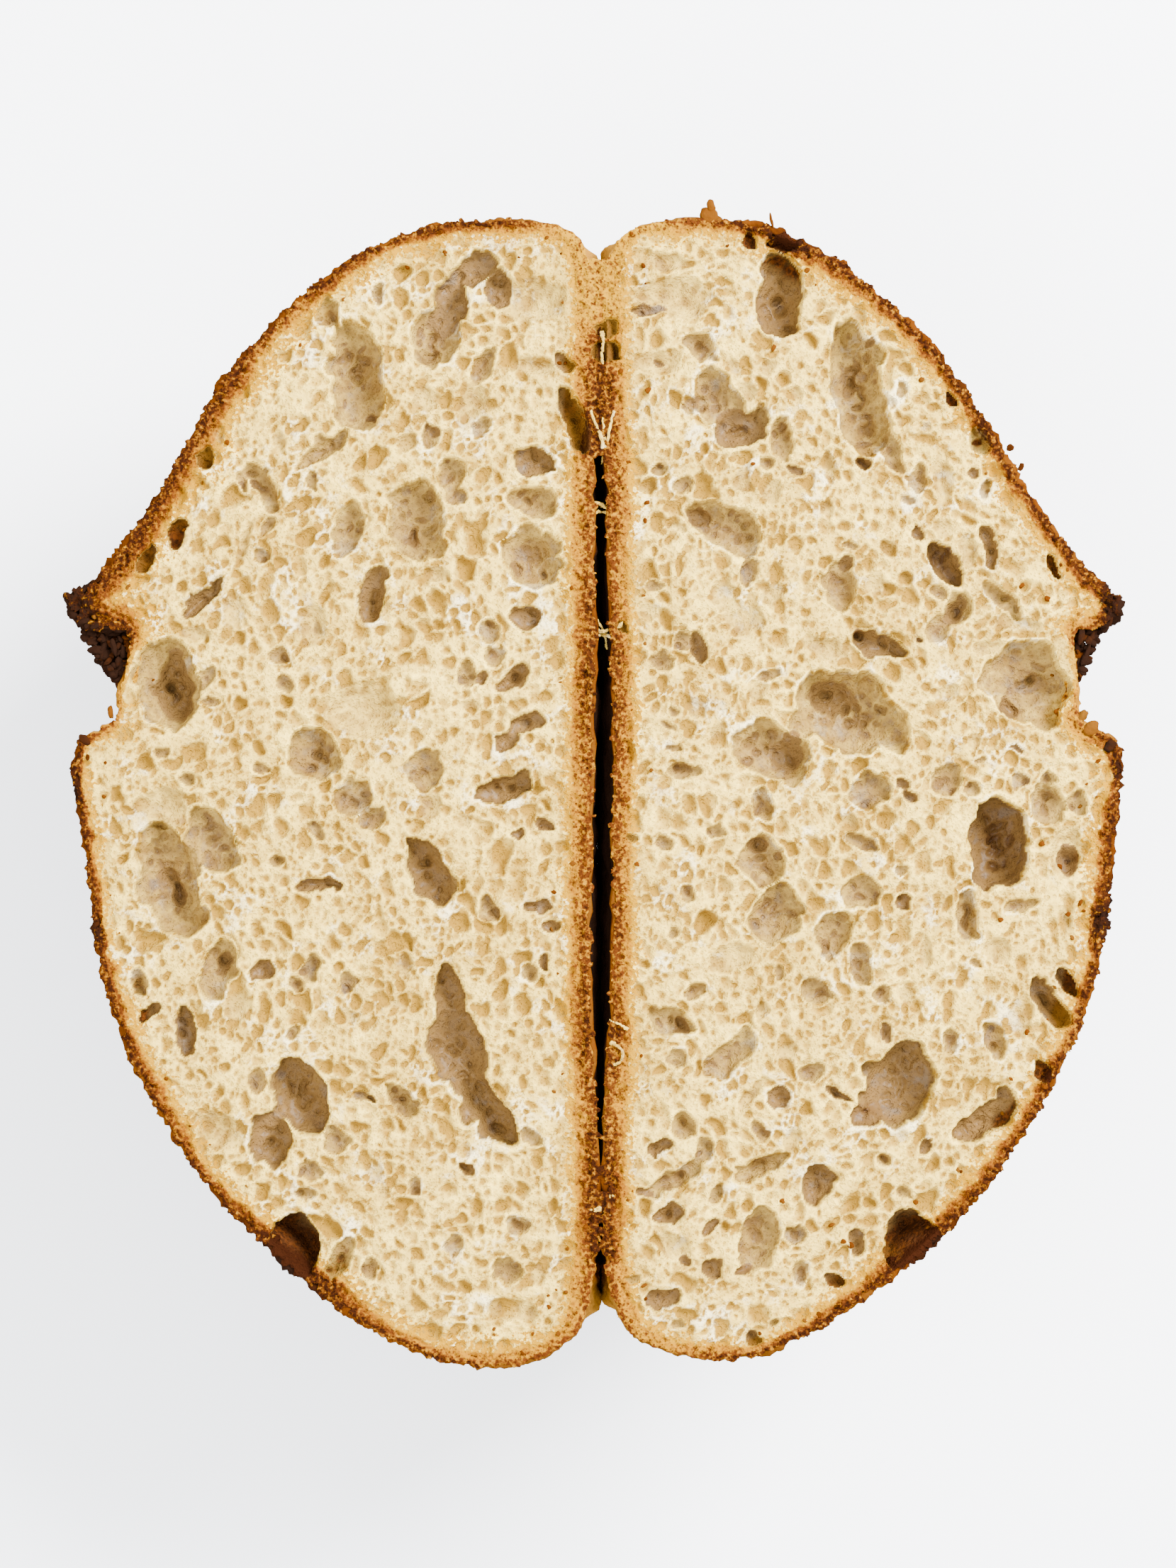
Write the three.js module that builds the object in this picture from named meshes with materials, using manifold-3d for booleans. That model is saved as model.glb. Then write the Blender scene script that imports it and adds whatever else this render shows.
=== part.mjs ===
// A round sourdough loaf, cut across nearly to its bottom crust and opened flat
// like a book. It lies with both cut faces up, on the two rounded ends.
//
// Millimetres. X runs across the fold, Y along it and Z up. The origin is on
// the ground, under the middle of the loaf. A section point is a pair: its
// height above the bottom crust, and its place along the fold.

import * as THREE from 'three';
import { mergeVertices } from 'three/addons/utils/BufferGeometryUtils.js';
import Module from 'manifold-3d';

// The loaf as a whole
const CUT_FACE_Z = 117;
const END_RADIUS = 118.2;
const FOLD_X = 1.6;
const WIDEST_HEIGHT = 26;
const BASE_FLATNESS = 18;

// The split crown: the score opened between the lip and the raised ear
const SCORE_MIDDLE = 25;
const SCORE_REACH = 28;
const SCORE_DEPTH = 90;
const CROWN_HEIGHT = 113;
const CROWN_MIDDLE = -2;
const CROWN_FALL = 0.0032;

// Relief of the crust
const BUMP_HEIGHT = 1.3;
const BUMP_FADE = 22;
const BUMPS = [
  { along: 31, down: 47, share: 0.45 },
  { along: 17, down: 26, share: 0.35 },
  { along: 11, down: 13, share: 0.2 },
];

// Fineness of the surface
const SECTION_STEP = 9;
const RING_COUNT = 15;
const DEEP_HOLLOW = 7;

const CRUMB_COLOUR = 0xe6d6b2;

// Cut outlines, from the bottom crust round the high side, over the ear and
// the lip, and back down the low side
const LEFT_SECTION = [
  [1.4, 74], [1.9, 113.4], [6.3, 122.2], [25.8, 125.1], [50.1, 118.8],
  [77.6, 95.7], [94.6, 67.9], [107.5, 49.4], [116.5, 41.4], [112.5, 36.4],
  [102.9, 35], [105.1, 22.4], [106, 16.2], [113.8, 9.9], [112.3, -10.8],
  [108.2, -39.3], [98.1, -66.3], [77.6, -94.1], [45.4, -119], [22.7, -125],
  [6.3, -118.5], [1.1, -103.4], [0.8, -74], [2.2, -46], [1.4, 18],
];
const RIGHT_SECTION = [
  [1.2, 74], [0.9, 113], [5.1, 121.9], [28.2, 125], [46.3, 119.3],
  [73.6, 95.7], [91.5, 67.9], [105.2, 49.4], [113.3, 40.3], [109.6, 37],
  [103.2, 35.2], [104.3, 24.7], [104.8, 15.9], [112.8, 10.6], [112, -6.2],
  [108, -38.6], [96.9, -66.3], [76.4, -94.1], [45.8, -117.3], [26.7, -123.4],
  [6.5, -117.3], [0.9, -101.1], [0.8, -80], [2.2, -40], [2.6, 5],
];

// Large hollows open at the cut: height, place along the fold, half width,
// half length, lean in degrees away from the bottom crust, and depth
const LEFT_HOLLOWS = [
  [33.8, 103, 5, 9.5, 0, 7], [15.3, 108, 9, 5, 0, 4],
  [54.8, 91, 6.5, 12.5, 10, 8], [14.6, 67.5, 5.5, 8, 0, 5],
  [94.3, 23.5, 6.3, 10.5, 0, 8], [40.2, 59.5, 6.3, 9.5, 5, 8],
  [55.3, 57.5, 3.2, 6.5, -8, 5], [49.8, 43, 3.2, 6, -10, 5],
  [15.3, 51, 6.2, 5.5, 0, 5], [51.8, 18, 9, 7, 0, 5],
  [62.8, 8.3, 5.6, 5.2, 0, 4], [93.8, -19, 5.8, 13, 18, 9],
  [83.3, -38, 3.6, 6.7, -15, 5], [37.3, -17, 4.3, 8.2, 20, 6],
  [32.4, -51, 5.5, 13, 7, 8], [25, -68.5, 4.2, 10, 35, 6],
  [65.3, -66, 6, 8.5, 25, 7], [72.6, -76, 4.7, 5.8, 0, 7],
  [65.3, -97, 4.8, 5.4, 0, 8], [56.3, -101.5, 2.8, 5.3, -20, 5],
];
const RIGHT_HOLLOWS = [
  [15.7, 107.8, 9.3, 4.8, 0, 5], [39.2, 108.3, 5.6, 9, 0, 9],
  [56.4, 87, 6.5, 15.5, -10, 8], [28.5, 83, 6.3, 7.5, -35, 7],
  [26.7, 58.5, 8.8, 4.9, 30, 7], [20.2, 33, 4, 3.9, 0, 5],
  [36.7, 9.3, 8.7, 5.8, 15, 7], [55.2, 17, 12.5, 8.4, 22, 9],
  [75.2, 50, 2.6, 6.2, -38, 6], [78, 40, 3.7, 3.8, 0, 6],
  [93.7, 24, 7.6, 9.2, -15, 8], [35.2, -14.5, 5.2, 5.6, 0, 6],
  [37.7, -27.5, 6, 7.5, 15, 7], [50.5, -31, 4, 5.6, 15, 5],
  [87, -10.3, 6.6, 10, 0, 10], [79.7, -26.8, 2.8, 6, 10, 5],
  [97.6, -46.3, 2.8, 6.2, -30, 6], [65.2, -63.5, 7.4, 10.2, 25, 10],
  [83.6, -71.5, 7.8, 3, -35, 6], [47.7, -85.3, 3.6, 4.8, 10, 5],
  [34.7, -97.5, 4.2, 7.9, 15, 6], [66.2, -96.4, 4.9, 5, 0, 8],
];

// Crumb and crust left whole across the fold: from, to, half width and depth
const BRIDGES = [
  [73, 115.5, 4, 6],
  [60.6, 64.4, 3, 3],
  [33.4, 36, 4, 3],
  [-94.5, -86.5, 3, 3],
];

const wasm = await Module();
wasm.setup();

// A closed manifold from a three.js geometry, by its corner positions alone
function solidFrom(geometry) {
  const bare = geometry.clone();
  bare.deleteAttribute('normal');
  bare.deleteAttribute('uv');
  const merged = mergeVertices(bare, 1e-4);
  return new wasm.Manifold(new wasm.Mesh({
    numProp: 3,
    vertProperties: new Float32Array(merged.attributes.position.array),
    triVerts: new Uint32Array(merged.index.array),
  }));
}

function geometryFrom(solid) {
  const mesh = solid.getMesh();
  const geometry = new THREE.BufferGeometry();
  geometry.setAttribute('position', new THREE.BufferAttribute(mesh.vertProperties, mesh.numProp));
  geometry.setIndex(new THREE.BufferAttribute(mesh.triVerts, 1));
  geometry.computeVertexNormals();
  return geometry;
}

// A section as a smooth closed line, with steps of even length between its
// corners
function sectionLine(corners) {
  const points = corners.map(([height, along]) => new THREE.Vector3(height, along, 0));
  const curve = new THREE.CatmullRomCurve3(points, true, 'centripetal');
  const line = [];
  points.forEach((point, i) => {
    const next = points[(i + 1) % points.length];
    const steps = Math.max(2, Math.round(point.distanceTo(next) / SECTION_STEP));
    for (let k = 0; k < steps; k += 1) {
      line.push(curve.getPoint((i + k / steps) / points.length));
    }
  });
  return line;
}

// How open the score still is at a depth: 1 at the cut face, 0 at its end
function scoreOpening(depth) {
  return Math.sqrt(Math.max(0, 1 - (depth / SCORE_DEPTH) ** 2));
}

function bump(along, depth, side) {
  return BUMPS.reduce((sum, { along: wave, down, share }, i) => {
    const phase = 1.9 * i + 2.3 * side;
    return sum + share * Math.sin((2 * Math.PI * along) / wave + phase + Math.sin(depth / down + i))
      * Math.cos((2 * Math.PI * depth) / down + 0.7 * phase);
  }, 0);
}

// A section point carried down to a depth below the cut face
function pointAtDepth(corner, depth, side) {
  const t = depth / END_RADIUS;
  const narrowing = Math.sqrt(1 - t * t);
  const open = scoreOpening(depth);
  const nearness = Math.exp(-(((corner.y - SCORE_MIDDLE) / SCORE_REACH) ** 4));
  const along = corner.y - (corner.y - SCORE_MIDDLE) * (1 - open) * nearness;
  const crown = CROWN_HEIGHT - CROWN_FALL * (along - CROWN_MIDDLE) ** 2;
  const isCrown = corner.x > 90 ? nearness : 0;
  const height = corner.x + (crown - corner.x) * (1 - open) * isCrown;
  let rise = WIDEST_HEIGHT + (height - WIDEST_HEIGHT) * narrowing;
  if (height < WIDEST_HEIGHT) {
    rise = WIDEST_HEIGHT - (WIDEST_HEIGHT - height) * Math.cbrt(1 - t ** BASE_FLATNESS);
  }
  const fade = Math.min(1, depth / BUMP_FADE) * narrowing;
  const swell = BUMP_HEIGHT * fade * bump(corner.y, depth, side) * Math.min(1, height / WIDEST_HEIGHT);
  return { rise: rise + swell, along: along * narrowing + 0.4 * swell };
}

// One half of the loaf. side is 1 for the right half and -1 for the left.
function halfLoaf(corners, side) {
  const line = sectionLine(corners);
  const count = line.length;
  const lastAngle = Math.asin(CUT_FACE_Z / END_RADIUS);
  const positions = [];
  for (let ring = 0; ring <= RING_COUNT; ring += 1) {
    const depth = ring === RING_COUNT ? CUT_FACE_Z : END_RADIUS * Math.sin((lastAngle * ring) / RING_COUNT);
    line.forEach((corner) => {
      const { rise, along } = pointAtDepth(corner, depth, side);
      positions.push(FOLD_X + side * rise, along, CUT_FACE_Z - depth);
    });
  }
  const triangles = [];
  const add = (a, b, c) => triangles.push(...(side < 0 ? [a, b, c] : [a, c, b]));
  for (let ring = 0; ring < RING_COUNT; ring += 1) {
    for (let i = 0; i < count; i += 1) {
      const a = ring * count + i;
      const b = ring * count + ((i + 1) % count);
      add(a, a + count, b + count);
      add(a, b + count, b);
    }
  }
  [0, RING_COUNT].forEach((ring) => {
    const start = ring * count;
    const rim = line.map((_, i) => new THREE.Vector2(
      side * positions[3 * (start + i)],
      positions[3 * (start + i) + 1],
    ));
    THREE.ShapeUtils.triangulateShape(rim, []).forEach(([a, b, c]) => {
      if (ring === 0) add(start + a, start + c, start + b);
      else add(start + a, start + b, start + c);
    });
  });
  const geometry = new THREE.BufferGeometry();
  geometry.setAttribute('position', new THREE.Float32BufferAttribute(positions, 3));
  geometry.setIndex(triangles);
  return solidFrom(geometry);
}

// A hollow that the knife opened: an egg whose middle lies a little below the
// cut face, so that its rim overhangs
function hollow([height, along, halfWidth, halfLength, lean, depth], side) {
  const sunk = 0.25;
  const egg = new THREE.IcosahedronGeometry(1, depth < DEEP_HOLLOW ? 1 : 2);
  egg.scale(halfWidth, halfLength, depth / (1 + sunk));
  egg.rotateZ(THREE.MathUtils.degToRad(side < 0 ? lean : -lean));
  egg.translate(FOLD_X + side * height, along, CUT_FACE_Z - (depth * sunk) / (1 + sunk));
  return solidFrom(egg);
}

// What the knife left whole between the halves
function bridge([from, to, halfWidth, depth]) {
  const section = new THREE.Shape();
  section.moveTo(-halfWidth, -0.5);
  section.quadraticCurveTo(0, -1.5, halfWidth, -0.5);
  section.lineTo(halfWidth, -depth);
  section.quadraticCurveTo(0, -depth - 2, -halfWidth, -depth);
  section.closePath();
  const bar = new THREE.ExtrudeGeometry(section, {
    depth: to - from,
    bevelEnabled: false,
    curveSegments: 4,
  });
  bar.rotateX(Math.PI / 2);
  bar.translate(FOLD_X, to, CUT_FACE_Z);
  return solidFrom(bar);
}

function buildLoaf() {
  let solid = halfLoaf(LEFT_SECTION, -1).add(halfLoaf(RIGHT_SECTION, 1));
  BRIDGES.forEach((row) => {
    solid = solid.add(bridge(row));
  });
  LEFT_HOLLOWS.forEach((row) => {
    solid = solid.subtract(hollow(row, -1));
  });
  RIGHT_HOLLOWS.forEach((row) => {
    solid = solid.subtract(hollow(row, 1));
  });
  const geometry = geometryFrom(solid);
  geometry.computeBoundingBox();
  const box = geometry.boundingBox;
  const middle = box.getCenter(new THREE.Vector3());
  geometry.translate(-middle.x, -middle.y, -box.min.z);
  return geometry;
}

const crumb = new THREE.MeshStandardMaterial({
  color: CRUMB_COLOUR,
  roughness: 0.9,
  metalness: 0,
});
const loaf = new THREE.Mesh(buildLoaf(), crumb);
loaf.name = 'loaf';

const group = new THREE.Group();
group.add(loaf);

export default group;
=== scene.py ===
"""A round sourdough loaf, cut across and opened flat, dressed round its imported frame.

The loaf lies with both cut faces up. X runs across the fold and Y along it. The crumb
is carved as one height field over both cut faces, in millimetres below the cut, and
the crust is a shell lofted down from the cut outline.
"""

import bpy
import numpy as np
from bpy.props import FloatProperty, FloatVectorProperty, PointerProperty
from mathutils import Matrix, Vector


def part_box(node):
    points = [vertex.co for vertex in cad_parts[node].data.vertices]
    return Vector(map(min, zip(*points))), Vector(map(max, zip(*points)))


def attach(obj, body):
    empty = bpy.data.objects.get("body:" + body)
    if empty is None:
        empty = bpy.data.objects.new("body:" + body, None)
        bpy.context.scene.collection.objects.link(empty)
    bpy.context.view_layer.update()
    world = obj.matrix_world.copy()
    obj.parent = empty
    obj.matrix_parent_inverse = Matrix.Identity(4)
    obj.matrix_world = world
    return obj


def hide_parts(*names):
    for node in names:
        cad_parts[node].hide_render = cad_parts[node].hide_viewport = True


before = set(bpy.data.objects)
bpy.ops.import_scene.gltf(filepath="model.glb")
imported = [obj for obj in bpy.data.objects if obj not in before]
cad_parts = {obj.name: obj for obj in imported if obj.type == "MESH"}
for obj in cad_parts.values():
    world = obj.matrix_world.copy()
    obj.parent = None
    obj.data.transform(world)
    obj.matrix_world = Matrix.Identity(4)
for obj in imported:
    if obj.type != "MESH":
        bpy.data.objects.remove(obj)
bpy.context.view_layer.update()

bl_info = {
    "name": "Opened Sourdough Loaf",
    "version": (1, 0, 0),
    "blender": (4, 5, 0),
    "location": "View3D > Sidebar > Loaf",
    "description": "Models a cut and opened sourdough loaf round its frame",
    "category": "Object",
}

MM = 0.001
NODE = "loaf"
BODY = "root"
LEFT = -1
RIGHT = 1

# The loaf's main sizes in millimetres, as the frame has them
BOX_LOW, BOX_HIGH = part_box(NODE)
CUT_FACE_Z = BOX_HIGH.z / MM
END_RADIUS = CUT_FACE_Z + 1.2
FOLD_X = 1.6
WIDEST_HEIGHT = 26.0
BASE_FLATNESS = 18.0
SCORE_MIDDLE = 25.0
SCORE_REACH = 28.0
SCORE_DEPTH = 90.0
CROWN_HEIGHT = 113.0
CROWN_MIDDLE = -2.0
CROWN_FALL = 0.0032
EAR_HEIGHT = 115.0
EAR_PLACE = 40.0

LAYING_STEP = 0.7

# What the picture takes in at the level of the cut faces, in metres
FRAME_LENGTH = 0.3413
FRAME_MIDDLE = (-0.00113, 0.00208)

# The width of the camera's sensor, in millimetres
SENSOR_WIDTH = 36.0

# The soft lights: name, place and size in metres, and power in watts
LIGHTS = [
    ("key", (0.75, 0.6, 1.0), 0.6, 105.0),
    ("fill", (-0.8, -0.6, 1.3), 1.8, 45.0),
]
ROOM_COLOUR = (0.93, 0.96, 1.0, 1.0)
ROOM_STRENGTH = 3.4

# Cut outlines as height above the bottom crust and place along the fold, from the
# bottom crust round the high side, over the ear and the lip, and back down
SECTIONS = {
    LEFT: [
        (1.4, 74), (1.9, 113.4), (6.3, 122.2), (25.8, 125.1), (50.1, 118.8),
        (77.6, 95.7), (94.6, 67.9), (107.5, 49.4), (116.5, 41.4), (112.5, 36.4),
        (102.9, 35), (105.1, 22.4), (106, 16.2), (113.8, 9.9), (112.3, -10.8),
        (108.2, -39.3), (98.1, -66.3), (77.6, -94.1), (45.4, -119), (22.7, -125),
        (6.3, -118.5), (1.1, -103.4), (0.8, -74), (2.2, -46), (1.4, 18),
    ],
    RIGHT: [
        (1.2, 74), (0.9, 113), (5.1, 121.9), (28.2, 125), (46.3, 119.3),
        (73.6, 95.7), (91.5, 67.9), (105.2, 49.4), (113.3, 40.3), (109.6, 37),
        (103.2, 35.2), (104.3, 24.7), (104.8, 15.9), (112.8, 10.6), (112, -6.2),
        (108, -38.6), (96.9, -66.3), (76.4, -94.1), (45.8, -117.3), (26.7, -123.4),
        (6.5, -117.3), (0.9, -101.1), (0.8, -80), (2.2, -40), (2.6, 5),
    ],
}

# What the knife left whole across the fold: from, to, half width
BRIDGES = [(73.5, 116.5, 3.2), (-94.0, -87.0, 2.6)]

# Hollows that the cut opened: height, place along the fold, half width, half length,
# lean in degrees, anticlockwise as seen from above, and how deep it goes, from 1 for
# a shallow bowl to 4 for the darkest cave
HOLLOWS = {
    LEFT: [
        (28.3, 113.5, 6, 2.8, 30, 3), (32.8, 106, 3.5, 7, -10, 3), (35.8, 99.5, 6, 6, 0, 2),
        (37.8, 95, 3.5, 2.3, 0, 2), (15.3, 108, 9, 5, 5, 1), (22.8, 110, 3, 4.2, 0, 3),
        (53.3, 91, 6, 12.5, 10, 2), (49.8, 81.5, 1.5, 1, 10, 4), (60.3, 75, 7, 2, 40, 2),
        (7.8, 93.5, 1.5, 2.8, 30, 3), (5.8, 81.5, 2.2, 7.5, 20, 3),
        (14.8, 72.7, 4.8, 3.2, -5, 3), (14.3, 63.5, 6, 3.8, -5, 2),
        (32.3, 69.5, 3.3, 4, 0, 2), (37.3, 78.5, 2.2, 2.5, 0, 2), (25.8, 80, 2, 2.8, 0, 2),
        (28.3, 85, 3.5, 6, -20, 1), (25.3, 93.5, 2.2, 3.8, -30, 2), (13.8, 93, 5.5, 2, -8, 1),
        (38.3, 86, 3, 3, 0, 1), (42.8, 77, 2.2, 2.3, 0, 1), (31.8, 64.5, 2.8, 1.8, -15, 2),
        (59.3, 104, 3, 3.3, 0, 2), (48.3, 109, 1.2, 2.6, 0, 2), (86.3, 72.5, 1.8, 2.8, -10, 3),
        (62.3, 67.5, 1.5, 2.3, 0, 2), (73.6, 67, 2.2, 6.5, 30, 2), (77.8, 68, 1.5, 2.5, -10, 2),
        (83.8, 78, 1.8, 2.5, 0, 1), (69.3, 77, 1.5, 3.3, 5, 1), (99.3, 51, 1.6, 3.8, -25, 3),
        (92.8, 57, 2, 4, -15, 3), (86.8, 42.5, 6.3, 1.8, 45, 3), (94.3, 23.5, 6.5, 10.5, 0, 2),
        (93.3, 22.5, 4.2, 8, 0, 3), (87.8, 35, 3.3, 1.6, 0, 1), (86.3, 25, 1.5, 3.2, -35, 2),
        (85.8, 19.8, 2.5, 1.2, 0, 2), (79.3, 39.5, 3.2, 3.8, 0, 1), (70.3, 30.8, 2.3, 1.7, 0, 2),
        (71.8, 58, 1.2, 2.5, -25, 2), (74.3, 51, 1.8, 1.8, 0, 2), (77.3, 55, 1, 7, -20, 1),
        (63.3, 37, 3.5, 4.5, 0, 1), (61.8, 36.5, 1, 1.7, 0, 2), (68.8, 24.5, 2, 2.3, 0, 2),
        (74.8, 6, 1.8, 1.5, 0, 2), (62.8, 8.5, 6, 5.5, 0, 2), (51.8, 18, 9, 7, 0, 1),
        (95.3, 8.3, 1.8, 1.3, 0, 2), (89.8, 3, 1.6, 1.6, 0, 2), (55.3, 57.5, 3, 6.5, -8, 2),
        (40.3, 59.5, 6.3, 9.5, 5, 2), (40.8, 56.5, 1.2, 2, 0, 4), (49.8, 43, 3, 6, -10, 3),
        (15.3, 51, 6.2, 6, 0, 2), (16.8, 39, 3.3, 2.4, 0, 3), (24.3, 35, 2.3, 3, 0, 2),
        (23.3, 30, 2.6, 1.8, 30, 2), (18.8, 25, 4, 2, 35, 3), (29.8, 26.5, 2.3, 3, 0, 2),
        (26.3, 25.5, 1.8, 1.8, 0, 3), (16.3, 15.2, 4.3, 1.9, 20, 3), (20.8, 11.5, 3, 2.2, 20, 3),
        (28.8, 19.8, 3, 1.2, 0, 1), (38.8, 5, 4, 4.5, 0, 2), (20.8, 0.8, 6.5, 3.5, 10, 3),
        (35.3, 47.5, 3, 2, 0, 1), (93.8, -19, 6, 13.5, 18, 2), (94.8, -18, 2.5, 2.5, 0, 3),
        (93, -22, 1.8, 3, 10, 4), (84.8, -10, 4.8, 7.8, 25, 2), (95.3, -3.5, 7, 4.5, 0, 1),
        (83.3, -38, 3.6, 6.7, -15, 2), (82.3, -37, 1.7, 3.2, -10, 3), (90.8, -51.5, 2.2, 6.5, 0, 3),
        (73.8, -38.8, 2.9, 2.4, 0, 3), (98.8, -47.8, 1.6, 3.2, -40, 3), (100.5, -41, 1.8, 2.8, 0, 2),
        (61.3, -20, 4.8, 1.5, 0, 3), (62.8, -38.5, 2, 3.7, -10, 2), (66.3, -42, 1.5, 1.8, 0, 2),
        (78.8, -46.5, 3, 3, 0, 1), (66.8, -52.5, 1.5, 1.7, 0, 2), (70.8, -14.5, 1.8, 1.5, 0, 2),
        (62.3, -8.3, 2.5, 1.7, -25, 2), (37.3, -17, 4.3, 8.2, 20, 3), (32.8, -45, 3.3, 8.5, 5, 3),
        (31.3, -55, 6, 9, 10, 3), (25.3, -68, 4.2, 11.5, 35, 3), (54.8, -41.5, 1.8, 2.5, 0, 2),
        (54.8, -48.5, 1.6, 1.8, 0, 1), (45.3, -46, 1.5, 1.3, 0, 1), (43.3, -37.5, 2.5, 3, 0, 1),
        (49.8, -5, 3.3, 2.3, 0, 2), (54.3, -1, 4, 3.5, 0, 2), (36.8, -2, 3, 3.5, 0, 1),
        (28.8, -6.5, 2.2, 2, 0, 1), (17.8, -9, 1.7, 1, 0, 3), (12.3, -7, 1.7, 1.6, 0, 3),
        (24.3, -25, 2.2, 2.7, 0, 2), (14.3, -24.5, 3.3, 1.5, 0, 3), (10.8, -29.5, 2, 1.6, 0, 3),
        (12.1, -37, 1.5, 2.1, 0, 3), (15.8, -39.3, 1.9, 1.9, 0, 2), (65.3, -66, 6, 9, 25, 3),
        (72.3, -75.5, 4.7, 6.2, 0, 3), (83.8, -73, 6.5, 4, -25, 1), (75.3, -63, 1.8, 2.8, 0, 2),
        (67.2, -99.3, 6.6, 7.4, 0, 4), (64.3, -87, 2.8, 1.8, 0, 2), (63.3, -82, 3, 1.8, -20, 2),
        (56.3, -101.5, 2.6, 5.3, -20, 2), (49.8, -103.5, 1.8, 2.3, 0, 2),
        (40.8, -86.5, 1.5, 2.2, 0, 2), (29.3, -81.3, 2.6, 1.2, -30, 3),
        (17.8, -94, 3, 1.7, 0, 2), (32.3, -98.5, 1.5, 2.6, 20, 2), (20.8, -104, 3, 3.8, 20, 2),
        (14.3, -105, 2, 2.5, 0, 1), (43.3, -67, 5, 2.7, -40, 2), (51.8, -66.5, 2.6, 1.2, -30, 2),
        (15.3, -75.5, 2.5, 1.8, -25, 2), (57.8, -75.5, 3, 2.5, 0, 2), (50.3, -82.5, 2.2, 2, 0, 1),
        (47.3, -87, 1.5, 3, 0, 1), (16.3, -112.5, 2.3, 2.3, 0, 1), (22.8, -112, 2, 2, 0, 1),
    ],
    RIGHT: [
        (15.7, 107.8, 9.3, 4.8, 0, 1), (10.2, 104.8, 4.3, 1.3, 0, 3), (14.7, 116, 4.7, 2.1, 0, 1),
        (39.2, 108.5, 5.6, 9.2, 0, 3), (56.2, 88, 6.2, 15.5, 10, 2), (54.2, 91, 1.6, 3.8, -10, 3),
        (32.7, 120.3, 1.5, 1.8, 0, 3), (39.2, 120, 2.6, 2.2, 0, 4), (22.2, 97, 4, 2.6, -25, 2),
        (12.7, 94, 5.5, 3.5, 0, 1), (12.5, 93.8, 1.1, 1, 0, 3), (29.2, 93, 1.8, 2.8, 25, 1),
        (26, 86.5, 4, 6.5, 35, 2), (30.4, 80, 5.3, 4.6, -15, 3), (21.2, 85.5, 4, 1.8, 10, 2),
        (34.7, 83, 2.3, 2, 0, 2), (31.7, 88, 2.2, 1.8, -20, 1), (39.5, 77.5, 2.7, 4.5, 0, 2),
        (41.7, 70.3, 2, 1, -25, 3), (36.2, 71.8, 1.8, 1.5, 0, 2), (49.2, 71.5, 1.6, 4.3, -5, 1),
        (43.2, 86.5, 1.1, 2.4, 10, 1), (36.7, 93, 1.8, 2.2, 0, 1), (12.4, 70.9, 2, 1.5, 0, 2),
        (18.2, 67.3, 2.6, 1.6, -10, 2), (9.7, 67, 2, 1.5, 0, 1), (31.2, 68.5, 2.2, 3, 0, 1),
        (37.2, 65.5, 2.5, 3, 0, 1), (1.0, 96.4, 3.3, 2.9, 0, 4), (1.2, 101.4, 2.4, 1.6, 0, 3),
        (59.5, 98.5, 1.2, 1.4, 0, 3), (56.7, 104, 1.8, 2.2, 0, 1), (76.2, 86.2, 1.3, 1.4, 0, 4),
        (65.7, 88.7, 1.3, 1.8, 0, 2), (63.5, 85.4, 1.2, 1.6, 0, 1), (65.2, 82, 1.3, 2, 0, 1),
        (71, 80.3, 1.2, 1.2, 0, 1), (82, 76.8, 2.2, 3.2, 20, 2), (63.4, 74.3, 2.2, 4.8, 20, 2),
        (57.2, 71.3, 2, 1.6, 0, 4), (68.9, 69.3, 1.9, 3.6, -10, 2), (66, 64, 1.6, 1.3, 0, 2),
        (74.7, 68, 2.3, 7, 0, 1), (80.4, 69, 1.2, 1, 0, 3), (83.7, 66, 1.3, 2.3, 10, 2),
        (26.7, 58.5, 8.6, 4.8, -30, 2), (21.7, 60.5, 3.2, 2.6, -20, 3), (16.2, 57.8, 3, 1.5, -25, 1),
        (32.5, 48.8, 2.2, 3.3, -20, 2), (37.9, 44, 2.8, 3, 0, 1), (26.7, 43.5, 3.3, 3.6, 0, 1),
        (31.2, 38, 5, 4, -20, 1), (11.7, 45.5, 1.9, 1.3, 20, 2), (10.7, 39.5, 2.2, 1.8, 0, 1),
        (18.2, 33.6, 2.6, 2.4, 0, 2), (21.1, 32.5, 1.9, 4, 15, 3), (13.2, 28.5, 2.8, 2.4, -20, 2),
        (4.7, 35.7, 1.4, 1.5, 0, 3), (15.7, 18, 1.3, 1, -40, 2), (15, 15.2, 1.8, 0.7, -35, 2),
        (20.7, 18.5, 2.3, 2.3, 0, 1), (25.7, 14, 2.2, 2.2, 0, 1), (16.2, 10.2, 2.3, 1, -5, 2),
        (18.2, 4.7, 4, 2, 0, 2), (17, 5, 1, 1, 0, 4), (36.7, 9.3, 8.5, 5.8, -15, 2),
        (40.7, 9, 3.5, 3.8, 0, 3), (54.2, 17.5, 13, 8.5, -22, 2), (50.2, 20.5, 6, 4, -10, 3),
        (36.7, 26, 2.5, 1.3, 20, 2), (34.7, 22.5, 2, 2.8, 0, 1), (52.7, 45, 3.3, 6, 0, 2),
        (53.9, 50.3, 1.6, 1.7, 0, 3), (54.2, 54.3, 1.5, 1, 0, 2), (49, 62.7, 1.8, 2, 0, 1),
        (60.7, 32.2, 6.6, 2.8, -10, 3), (56.2, 34, 1.7, 1.5, 0, 4), (50.2, 31, 6, 2.5, -15, 1),
        (69.5, 56.5, 1.6, 1.8, 0, 3), (75.2, 50, 2.4, 6, 38, 4), (75.2, 57.5, 2.2, 2.5, 0, 1),
        (80.2, 52.5, 2, 4, 10, 1), (84.7, 53, 1.5, 4.8, 22, 3), (77.9, 40, 3.6, 3.8, 0, 2),
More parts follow.
